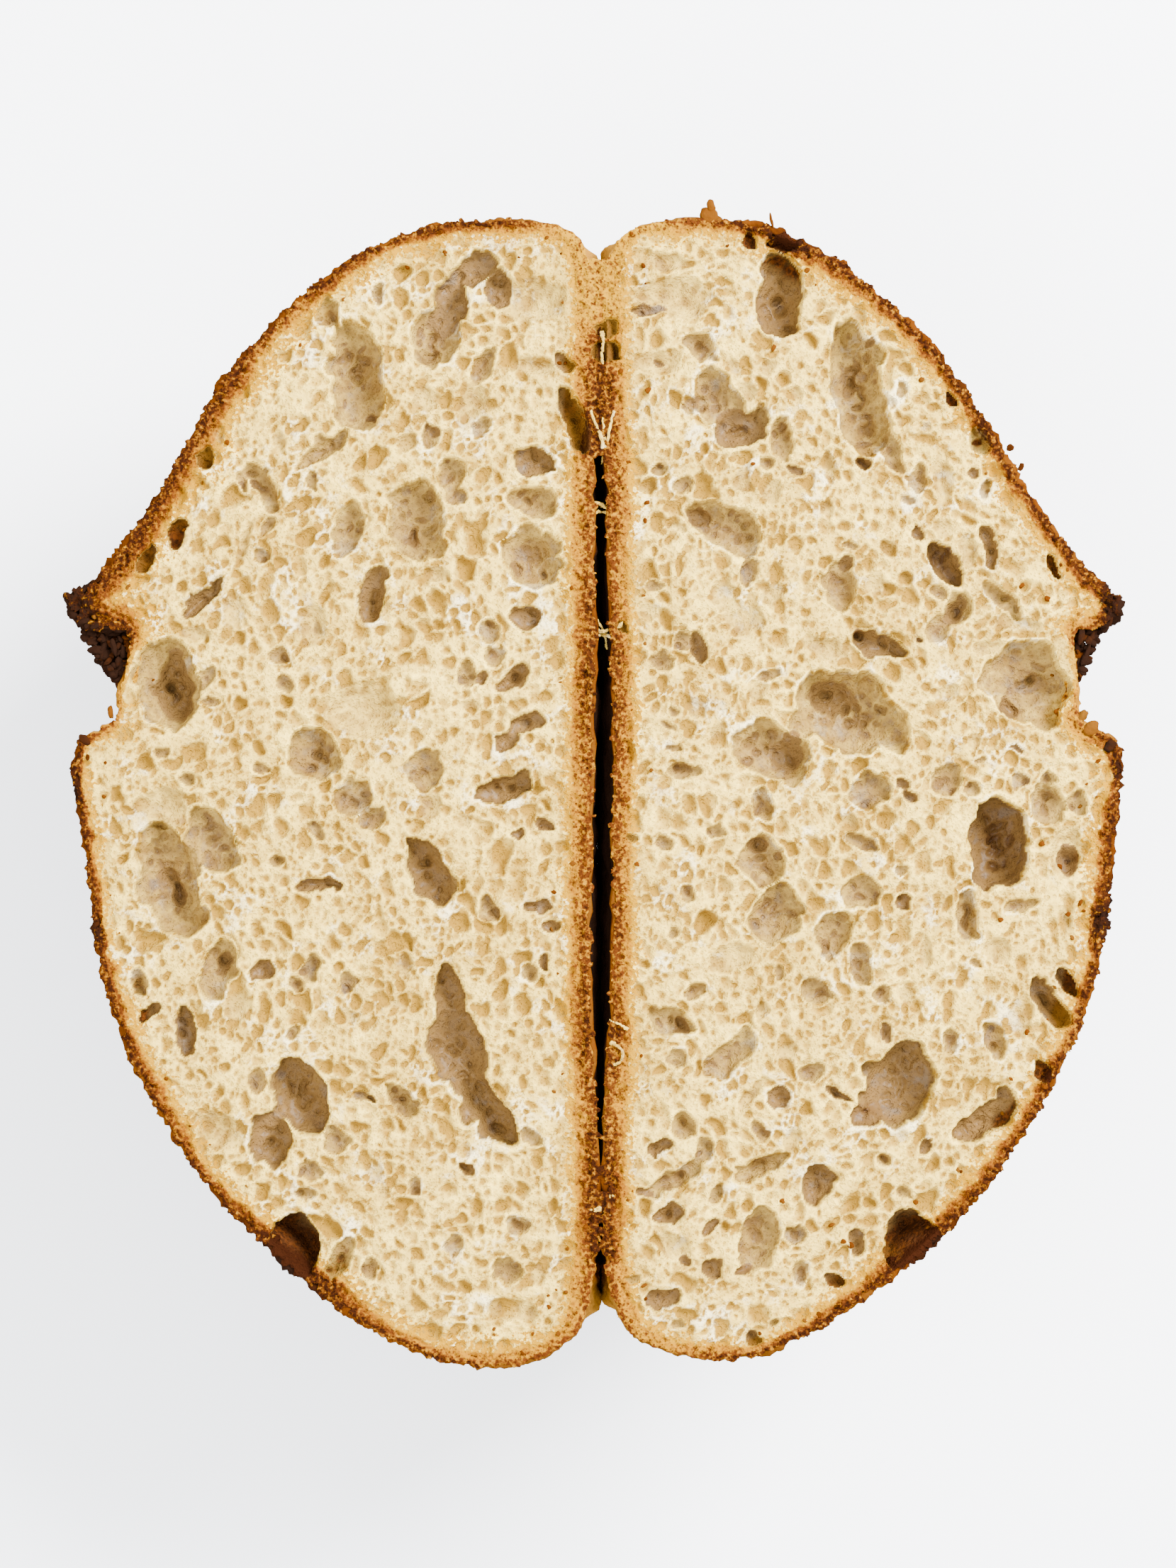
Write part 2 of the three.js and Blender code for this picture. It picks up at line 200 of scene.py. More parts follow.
        (77.2, 39.5, 2.6, 3.2, 0, 3), (87.5, 41.7, 2, 6, 45, 2), (73.9, 35.5, 2.3, 3.3, 0, 2),
        (70.4, 34.2, 0.7, 0.8, 0, 4), (73.7, 44.3, 1.8, 1.5, 0, 2), (59.7, 46.2, 2.6, 2.8, 0, 1),
        (66.7, 46.2, 1.6, 1.2, -30, 1), (62.5, 54, 2, 2.4, 0, 1), (93.7, 24, 7.8, 9.3, 15, 2),
        (90.2, 18.5, 2, 3, 20, 3), (85.2, 31, 3.5, 2, 0, 1), (91.2, 36.5, 6, 1.8, -5, 1),
        (98.4, 49.5, 1.4, 2.8, 25, 3), (75.2, 22.3, 3.7, 1.8, 15, 1), (80.7, 12.3, 2, 1.8, 0, 1),
        (90.4, 9.2, 1.3, 0.8, 0, 3), (82.2, 7.3, 1.2, 1, 0, 2), (75.2, 3.3, 3.2, 3.6, 0, 2),
        (65.7, 2.3, 1.7, 1.5, 0, 3), (81.5, 1, 1.8, 2.2, 20, 2), (91.2, 2.7, 1.9, 1.5, 0, 2),
        (97.7, 3.5, 2, 1.7, -20, 2), (58.7, 0.5, 4.3, 4, 0, 2), (35.2, -2.3, 2.3, 3.6, 30, 2),
        (28.7, -2.5, 1.5, 1.3, 0, 1), (25.7, -8.5, 2.3, 1.8, 0, 2), (7.5, -8.7, 1.6, 1, -25, 2),
        (13.7, -11, 1.8, 1.7, 0, 2), (35.2, -14.5, 5.2, 5.6, 0, 2), (33.7, -11, 2.5, 1.8, 0, 3),
        (38.2, -26.5, 5.3, 7, -15, 2), (28.2, -36, 5, 3, 20, 1), (36.2, -24, 1.2, 1.3, 0, 3),
        (56.7, -21.5, 4.2, 3.4, 0, 2), (50.5, -31, 4, 5.5, -15, 2), (56.7, -10.5, 3.5, 1.8, -20, 2),
        (54.2, -5.5, 1.5, 2.5, 30, 1), (57, -37, 2.5, 4.5, 0, 2), (46.7, -43.5, 3.2, 3, 0, 2),
        (38.9, -39.5, 1.2, 2, 0, 2), (20.7, -43, 2.2, 2, 0, 2), (19.2, -22, 1.5, 1.8, 0, 2),
        (16.4, -30.5, 1.3, 1.6, 0, 2), (15.2, -49.5, 5.5, 2.8, -15, 2), (17.7, -51, 1.7, 2, 0, 3),
        (28.2, -57, 7, 2.8, 40, 2), (16.7, -58, 1.8, 2.5, 0, 2), (35.5, -47.5, 2, 2.5, 0, 1),
        (41.2, -56.5, 2.5, 2.2, 0, 1), (46.2, -60.8, 3.2, 1.8, 0, 2), (87, -10.3, 6.5, 9.8, 0, 4),
        (97.7, -2.5, 3.8, 4.5, 0, 2), (104.2, -1.5, 2.3, 3.2, 0, 2), (101.2, -13, 3.3, 6, 0, 1),
        (101.7, -15, 2.2, 3.4, 0, 4), (91.7, -24, 3.3, 1.8, 15, 2), (79.7, -26.5, 2.5, 5.8, -10, 2),
        (79.2, -28, 1.1, 2, 0, 3), (86.5, -33.7, 3.8, 3.8, 0, 1), (65.7, -23.5, 2.3, 2, 0, 3),
        (67.5, -0.2, 2, 1.4, 0, 3), (65.7, -16.2, 2, 1, 15, 2), (74.2, -24.7, 1.2, 1.2, 0, 1),
        (81.5, -38, 1.7, 1, -15, 2), (102.2, -27.5, 1.5, 3.5, 20, 1), (71, -34.5, 1.5, 4, 0, 1),
        (61.5, -43.3, 2, 2.3, 0, 2), (66, -43.5, 1.8, 2.5, 0, 1), (91.2, -49, 2.3, 5, 10, 1),
        (97.7, -46, 2.8, 6.2, 30, 3), (102.2, -40.5, 1.7, 3.8, 20, 4), (85.9, -54, 2.5, 4.8, 20, 2),
        (76.5, -54.2, 1.5, 2.3, 0, 2), (62.2, -52.5, 1.3, 2, 0, 3), (65.2, -63.5, 7.2, 10, -25, 3),
        (58.2, -70.3, 4, 2.8, 0, 4), (96.2, -60.5, 2.2, 2, 0, 3), (83.7, -71.5, 8, 3, 35, 3),
        (70.7, -76.8, 1.8, 1.8, 0, 3), (64.5, -74.8, 2.3, 1.6, 15, 1), (61.5, -80.3, 2, 1.5, 0, 2),
        (66.7, -86.8, 2.2, 1.8, 0, 2), (68.2, -98, 6.2, 6.4, 0, 4), (56.2, -98.5, 1.8, 3, 0, 3),
        (38.7, -66.3, 2.3, 2.3, 0, 3), (33.2, -66, 1.5, 4.5, -30, 1), (51.7, -65.6, 3, 1, -20, 3),
        (18.2, -72.5, 3.5, 2.8, 0, 2), (13, -76.8, 3.3, 1.5, 15, 3), (23.2, -77.5, 2.2, 3, -30, 2),
        (16.2, -83, 7.5, 1.9, 28, 2), (9.7, -86.8, 2.2, 0.9, -10, 3), (35.2, -81.5, 7, 2.4, 30, 2),
        (25.2, -87, 1.8, 2.2, -25, 2), (35, -73.2, 1.5, 2, 0, 2), (41.7, -75, 2, 3.5, -20, 1),
        (47.7, -85.3, 3.5, 4.8, -10, 3), (15.2, -91.5, 3.8, 2, 15, 3), (34.7, -97.3, 4, 7.6, -15, 2),
        (31.7, -104, 2.2, 1.1, 15, 4), (41.9, -96, 2.5, 2.2, 0, 2), (24.2, -94.5, 0.9, 2.3, -35, 3),
        (16.7, -98.5, 4.5, 3.3, -15, 1), (18.7, -102, 1.2, 1.7, 0, 3), (24.2, -103.5, 2.5, 2.3, 0, 3),
        (43.9, -104.5, 2, 2.7, 0, 2), (51.2, -105.8, 1.8, 1.5, 0, 4), (6.5, -105.1, 1.4, 1.1, 0, 2),
        (13.7, -109.8, 3.5, 1.8, 0, 3), (16.7, -115.7, 1.8, 1.1, 0, 2), (33.2, -118.5, 1.8, 1.4, 0, 3),
        (37.7, -115.5, 1.3, 1.2, 0, 2),
    ],
}

# Scorched places: side, height, place along the fold, reach, and how much more baked
SCORCHES = [
    (LEFT, 117, 41, 6.5, 1.2), (RIGHT, 114, 40, 5.5, 1.2), (LEFT, 112, 2, 9, 0.4),
    (LEFT, 110, -29, 6, 0.4), (LEFT, 66, -103, 14, 0.45), (RIGHT, 111, 5, 6, 0.4),
    (RIGHT, 110, -27, 6, 0.5), (RIGHT, 40, 122, 9, 0.35), (RIGHT, 84, 86, 12, 0.2),
    (LEFT, 100, 60, 12, 0.15), (RIGHT, 72, -99, 9, 0.3), (LEFT, 1, 88, 7, -0.2),
    (RIGHT, 1, 88, 7, -0.2), (LEFT, 1, 98, 4, 0.1), (RIGHT, 1, 98, 4, 0.1),
    (LEFT, 3, 113, 12, -0.6), (RIGHT, 3, 113, 12, -0.6), (LEFT, 109, 34, 4, 0.5),
    (LEFT, 103, 29, 6, -0.3), (RIGHT, 103, 29, 7, -0.35), (RIGHT, 106, 34, 4, -0.6),
]

# Where the cut crust is thicker or thinner than elsewhere: side, height, place along
# the fold, reach, and by how much in millimetres
THICK_PLACES = [
    (LEFT, 85, 82, 30, 0.9), (LEFT, 108, 48, 16, 1.6), (LEFT, 116, 40, 7, 2.4),
    (RIGHT, 106, 48, 12, 0.4), (RIGHT, 113, 40, 5, 0.8),
    (LEFT, 103, 31, 7, -0.9), (RIGHT, 103, 31, 7, -1.0), (LEFT, 109, 35, 4, -0.8),
    (RIGHT, 108, 35, 4, -0.9), (RIGHT, 40, 121, 22, 0.5),
    (LEFT, 106, 24, 10, -0.9), (RIGHT, 106, 24, 9, -0.9), (LEFT, 110, -8, 26, -0.5),
    (LEFT, 62, -106, 16, 0.8), (RIGHT, 70, -100, 14, 0.6), (LEFT, 1, 86, 9, -0.5),
    (RIGHT, 1, 86, 9, -0.3), (LEFT, 1, 112, 13, -0.7), (RIGHT, 1, 112, 13, -0.7),
]

# Slow swells of the outer crust: wave along the fold, wave downwards, and share
SWELLS = [(31, 47, 0.45), (17, 26, 0.35), (11, 13, 0.2)]

# How deep a hollow of each class goes, as a share of its mean half size, how much of
# that is a steep wall at its rim, and how much painted shade darkens its inside, partly its walls' own
# tone
HOLLOW_DEPTH = {1: 0.5, 2: 0.85, 3: 1.1, 4: 1.45}
HOLLOW_WALL = {2: 0.4, 3: 0.5, 4: 0.55}
HOLLOW_SHADE = {1: 0.35, 2: 0.55, 3: 0.75, 4: 1.0}
DEEPEST = 13.0

# How the rims of hollows and cells wander: by how much and over which wave, both in
# millimetres, and where the noise is read for x and for y
EDGE_WARPS = [(0.9, 7.0, 0, 50), (0.6, 2.6, 90, 140), (0.22, 1.1, 170, 230)]

# Below the cut faces, in millimetres: the bottom of the crumb's hidden body and of its rim
UNDERSIDE = -17.0
RIM_DROP = 1.2

# Layers of crumb bubbles, largest first: how much of the layer stays in the tight crumb
# by the crust and how strong its tone is; then spacing, seed, stretch, share filled,
# smallest and largest radius and the wall between two, with lengths in millimetres
BUBBLES = [
    (0.0, 1.0, (7.6, 37, 0.9, 0.12, 1.3, 2.6, 0.6)),
    (0.0, 1.0, (4.4, 31, 0.8, 0.6, 0.8, 1.9, 0.45)),
    (0.2, 0.9, (2.7, 33, 0.7, 0.7, 0.45, 1.15, 0.3)),
    (0.9, 0.65, (1.7, 35, 0.5, 0.7, 0.3, 0.7, 0.25)),
    (1.0, 0.4, (1.0, 39, 0.4, 0.6, 0.2, 0.42, 0.2)),
]

# Strands of crumb that still cross the gap: their path, and how thick they are
STRANDS = [
    ([(2, 93.0, -1.6), (1.8, 95, -0.6), (2.2, 98.4, -0.5), (1.9, 100.8, -1.6)], 0.6),
    ([(-2, 86.4, -2.6), (-0.6, 83, -0.8), (1.4, 79, -0.6), (2.3, 75.6, -0.9), (2.4, 72, -3)], 0.75),
    ([(5.4, 86.5, -2.8), (4.4, 83, -0.9), (3.4, 78.5, -0.6), (2.6, 74.6, -1.2)], 0.6),
    ([(-1.4, 82.4, -2.4), (0.4, 80.2, -0.9), (2.4, 78.3, -1.6)], 0.4),
    ([(2.4, 84.4, -2.4), (2.1, 81, -1.1), (2.5, 77, -1.2)], 0.45),
    ([(-0.8, 62.9, -1), (1.4, 63.3, -2.2), (3, 62, -2), (5, 62.6, -1)], 0.75),
    ([(-0.6, 61.2, -1.8), (2, 61.6, -3.2), (4.8, 60.8, -1.5)], 0.6),
    ([(-1, 36.6, -1), (1.5, 35.2, -2), (4, 36, -1.8), (6.4, 36.8, -1)], 0.7),
    ([(-1, 34, -1.6), (2, 34.8, -3), (5.6, 33.6, -1.4)], 0.8),
    ([(0.6, 38, -3), (2.4, 35.4, -3.5), (3.2, 31.6, -5)], 0.5),
    ([(3.8, -54.2, -0.8), (5.2, -54.8, 0.1), (6.6, -56.4, -0.1), (6, -58.6, -0.6),
      (4.2, -59.2, -1)], 0.6),
    ([(3.6, -49.6, -1), (5.4, -50, -0.2), (7.6, -51.4, -0.8)], 0.5),
    ([(-0.6, -87.4, -1.2), (2, -88.2, -1.6), (4.2, -87.2, -1.2)], 0.9),
    ([(-0.4, -91, -1), (1.6, -90.4, -1.2), (3.8, -91.6, -1)], 1.0),
]

# Shreds that hang under each ear: side, how many, and the outer edge that they reach
SHREDS = [
    (LEFT, 250, [(114.5, 38), (109.5, 28.5), (104.8, 24)]),
    (RIGHT, 150, [(111.5, 38), (107.5, 32), (104, 27)]),
]

# Flakes and crumbs that lie loose or hang on: place, half sizes across, along and up,
# turn in degrees, and how far they are baked
FLAKES = [
    ((25.3, 125.8, -1.2), (2.3, 1.5, 0.7), 8, 0.4), ((24.4, 126.6, -1.6), (1.3, 1.1, 0.8), 50, 0.5),
    ((25.7, 127.9, -1.2), (0.9, 1.6, 0.5), 4, 0.45), ((27, 125, -1.5), (1.2, 1, 0.6), -30, 0.4),
    ((38.8, 125, -1), (0.4, 1.6, 0.4), 12, 0.7), ((90.9, 75.4, -1.4), (0.9, 0.7, 0.5), 30, 0.8),
    ((93.3, 71.2, -1.5), (0.8, 0.6, 0.5), 60, 0.85), ((106.4, 34.4, -1.5), (0.8, 2.6, 0.6), -10, 1.0),
    ((107.4, 30, -2), (0.6, 2.4, 0.5), -20, 1.05), ((108.6, 14, -1), (1.9, 1.5, 1.1), 25, 0.3),
    ((106.6, 16.8, -1.4), (1.6, 1.2, 0.9), 70, 0.25), ((112.6, 10.4, -0.6), (1.4, 1, 0.6), 40, 1.0),
    ((-110.6, 11.6, -0.8), (1.5, 1, 0.6), -30, 0.9), ((-105.2, 17.6, -1.2), (0.6, 1.5, 0.6), 10, 0.4),
    ((-104.6, 31.8, -1.4), (0.7, 2, 0.6), 14, 1.2),
    ((12.1, 87.8, -0.3), (0.9, 0.6, 0.5), 10, 0.5), ((39.3, 97, -0.4), (0.7, 0.5, 0.4), 60, 0.45),
    ((34.8, 71.8, -0.5), (0.6, 0.5, 0.4), 0, 0.5), ((93.3, 45.3, -0.4), (0.8, 0.5, 0.4), 35, 0.5),
    ((99, 42.4, -0.4), (0.7, 0.7, 0.4), 80, 0.55), ((101.6, 18, -0.5), (0.8, 0.6, 0.5), 15, 0.5),
    ((101.8, -16, -0.4), (0.7, 0.5, 0.4), -30, 0.6), ((106.1, -23.8, -0.5), (0.8, 0.5, 0.5), 65, 0.7),
    ((103.6, -26.3, -0.4), (0.6, 0.5, 0.4), 5, 0.6), ((97.8, -11, -0.4), (0.6, 0.5, 0.4), 45, 0.5),
    ((88.7, -27.5, -0.4), (0.6, 0.5, 0.4), -20, 0.5), ((94.5, -52, -0.4), (0.7, 0.5, 0.4), 70, 0.55),
    ((52, -94, -0.4), (0.7, 0.4, 0.4), 30, 0.45), ((54.5, -97.6, -0.4), (0.6, 0.5, 0.4), 0, 0.5),
    ((56.1, -98.5, -0.4), (0.9, 0.6, 0.5), -50, 0.6), ((41.2, -88.8, -0.4), (0.6, 0.5, 0.4), 20, 0.45),
]


class Noise:
    """Smooth seeded noise between about -1 and 1."""

    SIDE = 64

    def __init__(self, seed):
        draw = np.random.default_rng(seed)
        self.values = draw.uniform(-1, 1, (self.SIDE,) * 3).astype(np.float32)

    def cell(self, coordinate, wave):
        """The noise points on both sides of each coordinate, and the way between."""
        place = np.asarray(coordinate, np.float32) / wave
        low = np.floor(place).astype(np.int32)
        part = place - low
        part = part * part * (3 - 2 * part)
        return low % self.SIDE, (low + 1) % self.SIDE, part

    def flat(self, x, y, wave):
        """Noise over a plane."""
        x0, x1, tx = self.cell(x, wave)
        y0, y1, ty = self.cell(y, wave)
        sheet = self.values[0]
        low = sheet[x0, y0] * (1 - tx) + sheet[x1, y0] * tx
        high = sheet[x0, y1] * (1 - tx) + sheet[x1, y1] * tx
        return low * (1 - ty) + high * ty

    def solid(self, x, y, z, wave):
        """Noise through space."""
        x0, x1, tx = self.cell(x, wave)
        y0, y1, ty = self.cell(y, wave)
        z0, z1, tz = self.cell(z, wave)
        layers = []
        for zi in (z0, z1):
            low = self.values[x0, y0, zi] * (1 - tx) + self.values[x1, y0, zi] * tx
            high = self.values[x0, y1, zi] * (1 - tx) + self.values[x1, y1, zi] * tx
            layers.append(low * (1 - ty) + high * ty)
        return layers[0] * (1 - tz) + layers[1] * tz


CRUST_NOISE = Noise(11)
CRUMB_NOISE = Noise(23)


def smooth_step(low, high, value):
    """0 at low, 1 at high, and smooth between; low may be above high."""
    part = np.clip((value - low) / (high - low), 0, 1)
    return part * part * (3 - 2 * part)


def smooth_line(corners, step):
    """A closed centripetal curve through the corners, as points about a step apart."""
    points = np.array(corners, float)
    line = []
    for i in range(len(points)):
        p0, p1, p2, p3 = (points[(i + k) % len(points)] for k in (-1, 0, 1, 2))
        d0, d1, d2 = (np.sqrt(np.linalg.norm(b - a)) for a, b in ((p0, p1), (p1, p2), (p2, p3)))
        m1 = ((p1 - p0) / d0 - (p2 - p0) / (d0 + d1) + (p2 - p1) / d1) * d1
        m2 = ((p2 - p1) / d1 - (p3 - p1) / (d1 + d2) + (p3 - p2) / d2) * d1
        count = max(2, round(np.linalg.norm(p2 - p1) / step))
        t = np.arange(count)[:, None] / count
        curve = p1 + m1 * t + (3 * (p2 - p1) - 2 * m1 - m2) * t**2
        line.append(curve + (2 * (p1 - p2) + m1 + m2) * t**3)
    return np.concatenate(line)


def distance_inside(x, y, line):
    """Signed distance from each grid point to a closed line, positive inside it."""
    start = line
    along = np.roll(line, -1, axis=0) - start
    length2 = (along**2).sum(1)
    result = np.empty((len(y), len(x)), np.float32)
    for row, py in enumerate(y):
        dx = x[:, None] - start[:, 0]
        dy = py - start[:, 1]
        t = np.clip((dx * along[:, 0] + dy * along[:, 1]) / length2, 0, 1)
        far = np.hypot(dx - t * along[:, 0], dy - t * along[:, 1]).min(1)
        crosses = (start[:, 1] <= py) != (start[:, 1] + along[:, 1] <= py)
        at = start[crosses, 0] + (py - start[crosses, 1]) / along[crosses, 1] * along[crosses, 0]
        inside = (at[None, :] > x[:, None]).sum(1) % 2 == 1
        result[row] = np.where(inside, far, -far)
    return result


def resample(grid, x0, y0, step, x, y):
    """A grid read at any places, row by row in y and across in x."""
    gx = np.clip((x - x0) / step, 0, grid.shape[1] - 1.001)
    gy = np.clip((y - y0) / step, 0, grid.shape[0] - 1.001)
    ix = gx.astype(np.int32)
    iy = gy.astype(np.int32)
    tx = (gx - ix).astype(np.float32)
    ty = (gy - iy).astype(np.float32)
    low = grid[iy, ix] * (1 - tx) + grid[iy, ix + 1] * tx
    high = grid[iy + 1, ix] * (1 - tx) + grid[iy + 1, ix + 1] * tx
    return low * (1 - ty) + high * ty


def around(grid):
    """The sum of the four neighbours of each inner grid point."""
    return grid[1:-1, :-2] + grid[1:-1, 2:] + grid[:-2, 1:-1] + grid[2:, 1:-1]


def evened(grid, rounds):
    """A copy of a grid, evened out over its neighbours."""
    grid = grid.copy()
    for _ in range(rounds):
        grid[1:-1, 1:-1] = around(grid) / 4
    return grid


def turned(x, y, angle):
    """Offsets turned anticlockwise by an angle in radians."""
    cos, sin = np.cos(angle), np.sin(angle)
    return x * cos - y * sin, x * sin + y * cos


def ring_quads(rows, columns):
    """Point numbers of a stack of closed rings, and the quads between the rings."""
    index = np.arange(rows * columns).reshape(rows, columns)
    after = np.roll(index, -1, 1)
    quads = np.stack([index[:-1], after[:-1], after[1:], index[1:]], -1)
    return index, quads.reshape(-1, 4)


def crust_roughness(x, y, z, bake):
    """Crags of the crust, outwards, in millimetres, bolder where it is darker."""
    coarse = 0.5 * CRUST_NOISE.solid(x, y, z, 5.2)
    middle = 0.55 - 1.3 * np.abs(CRUST_NOISE.solid(x + 40, y, z, 2.6))
    fine = 0.6 * CRUST_NOISE.solid(x, y + 40, z, 1.1) + 0.4 * CRUST_NOISE.solid(x, y, z + 40, 0.6)
    return (coarse + middle + fine) * (0.4 + 0.9 * np.clip(bake, 0, 1.3))


def crust_blisters(x, y, z):
    """Sparse round blisters of the outer crust, outwards, in millimetres."""
    spacing = 6.5
    side = 32
    table = np.random.default_rng(5).random((side, side, side, 5)).astype(np.float32)
    ix, iy, iz = (np.floor(c / spacing).astype(int) for c in (x, y, z))
    crowd = 0.34 + 0.4 * CRUST_NOISE.solid(x, y, z, 31.0)
    best = np.zeros_like(x)
    for ox in (-1, 0, 1):
        for oy in (-1, 0, 1):
            for oz in (-1, 0, 1):
                jx, jy, jz = ix + ox, iy + oy, iz + oz
                r = table[jx % side, jy % side, jz % side]
                size = 1.0 + 2.6 * r[..., 3] ** 2
                away = (x - (jx + r[..., 0]) * spacing) ** 2
                away = away + (y - (jy + r[..., 1]) * spacing) ** 2
                away = away + (z - (jz + r[..., 2]) * spacing) ** 2
                dome = np.sqrt(np.clip(1 - away / size**2, 0, 1)) * 0.42 * size
                best = np.maximum(best, np.where(r[..., 4] < crowd, dome, 0))
    return best


def cut_outlines(step):
    """The cut outline of each half in X and Y, as points about a step apart."""
    outlines = {}
    for side, corners in SECTIONS.items():
        line = smooth_line(corners, step)
        line[:, 0] = FOLD_X + side * line[:, 0]
        outlines[side] = line
    return outlines


def marked(marks, side, height, along, depth=0.0):
    """The marks of one side, each fading out over its reach, added up."""
    total = 0.0
    for mark_side, mark_height, mark_along, reach, strength in marks:
        if mark_side == side:
            away2 = (height - mark_height) ** 2 + (along - mark_along) ** 2 + (0.5 * depth) ** 2
            total = total + strength * np.exp(-away2 / reach**2)
    return total


def baking(side, height, along, depth):
    """How far the crust is baked: 0 pale gold, about 0.5 chestnut, over 1 charred."""
    value = 0.55 + 0.15 * smooth_step(8, 70, height)
    value = value - 0.3 * smooth_step(95, 118, np.abs(along)) * smooth_step(40, 5, height)
    low_crust = smooth_step(8, 2, height)
    value = value + 0.3 * low_crust * smooth_step(-70, -85, along) * smooth_step(-104, -96, along)
    value = value - 0.1 * low_crust * smooth_step(-28, -36, along) * smooth_step(-56, -46, along)
    on_lip = smooth_step(98, 103, height)
    value = value - 0.3 * on_lip * smooth_step(9, 14, along) * smooth_step(34, 29, along)
    return value + marked(SCORCHES, side, height, along, depth)


def place_on(oval, draw, nearest, farthest):
    """A place on an oval, between two shares of the way to its rim, and its bearing."""
    x, y, wide, long, lean = oval
    turn = draw.uniform(0, 2 * np.pi)
    reach = draw.uniform(nearest, farthest)
    across, along = wide * reach * np.cos(turn), long * reach * np.sin(turn)
    cos, sin = np.cos(lean), np.sin(lean)
    return (x + across * cos - along * sin, y + across * sin + along * cos), turn


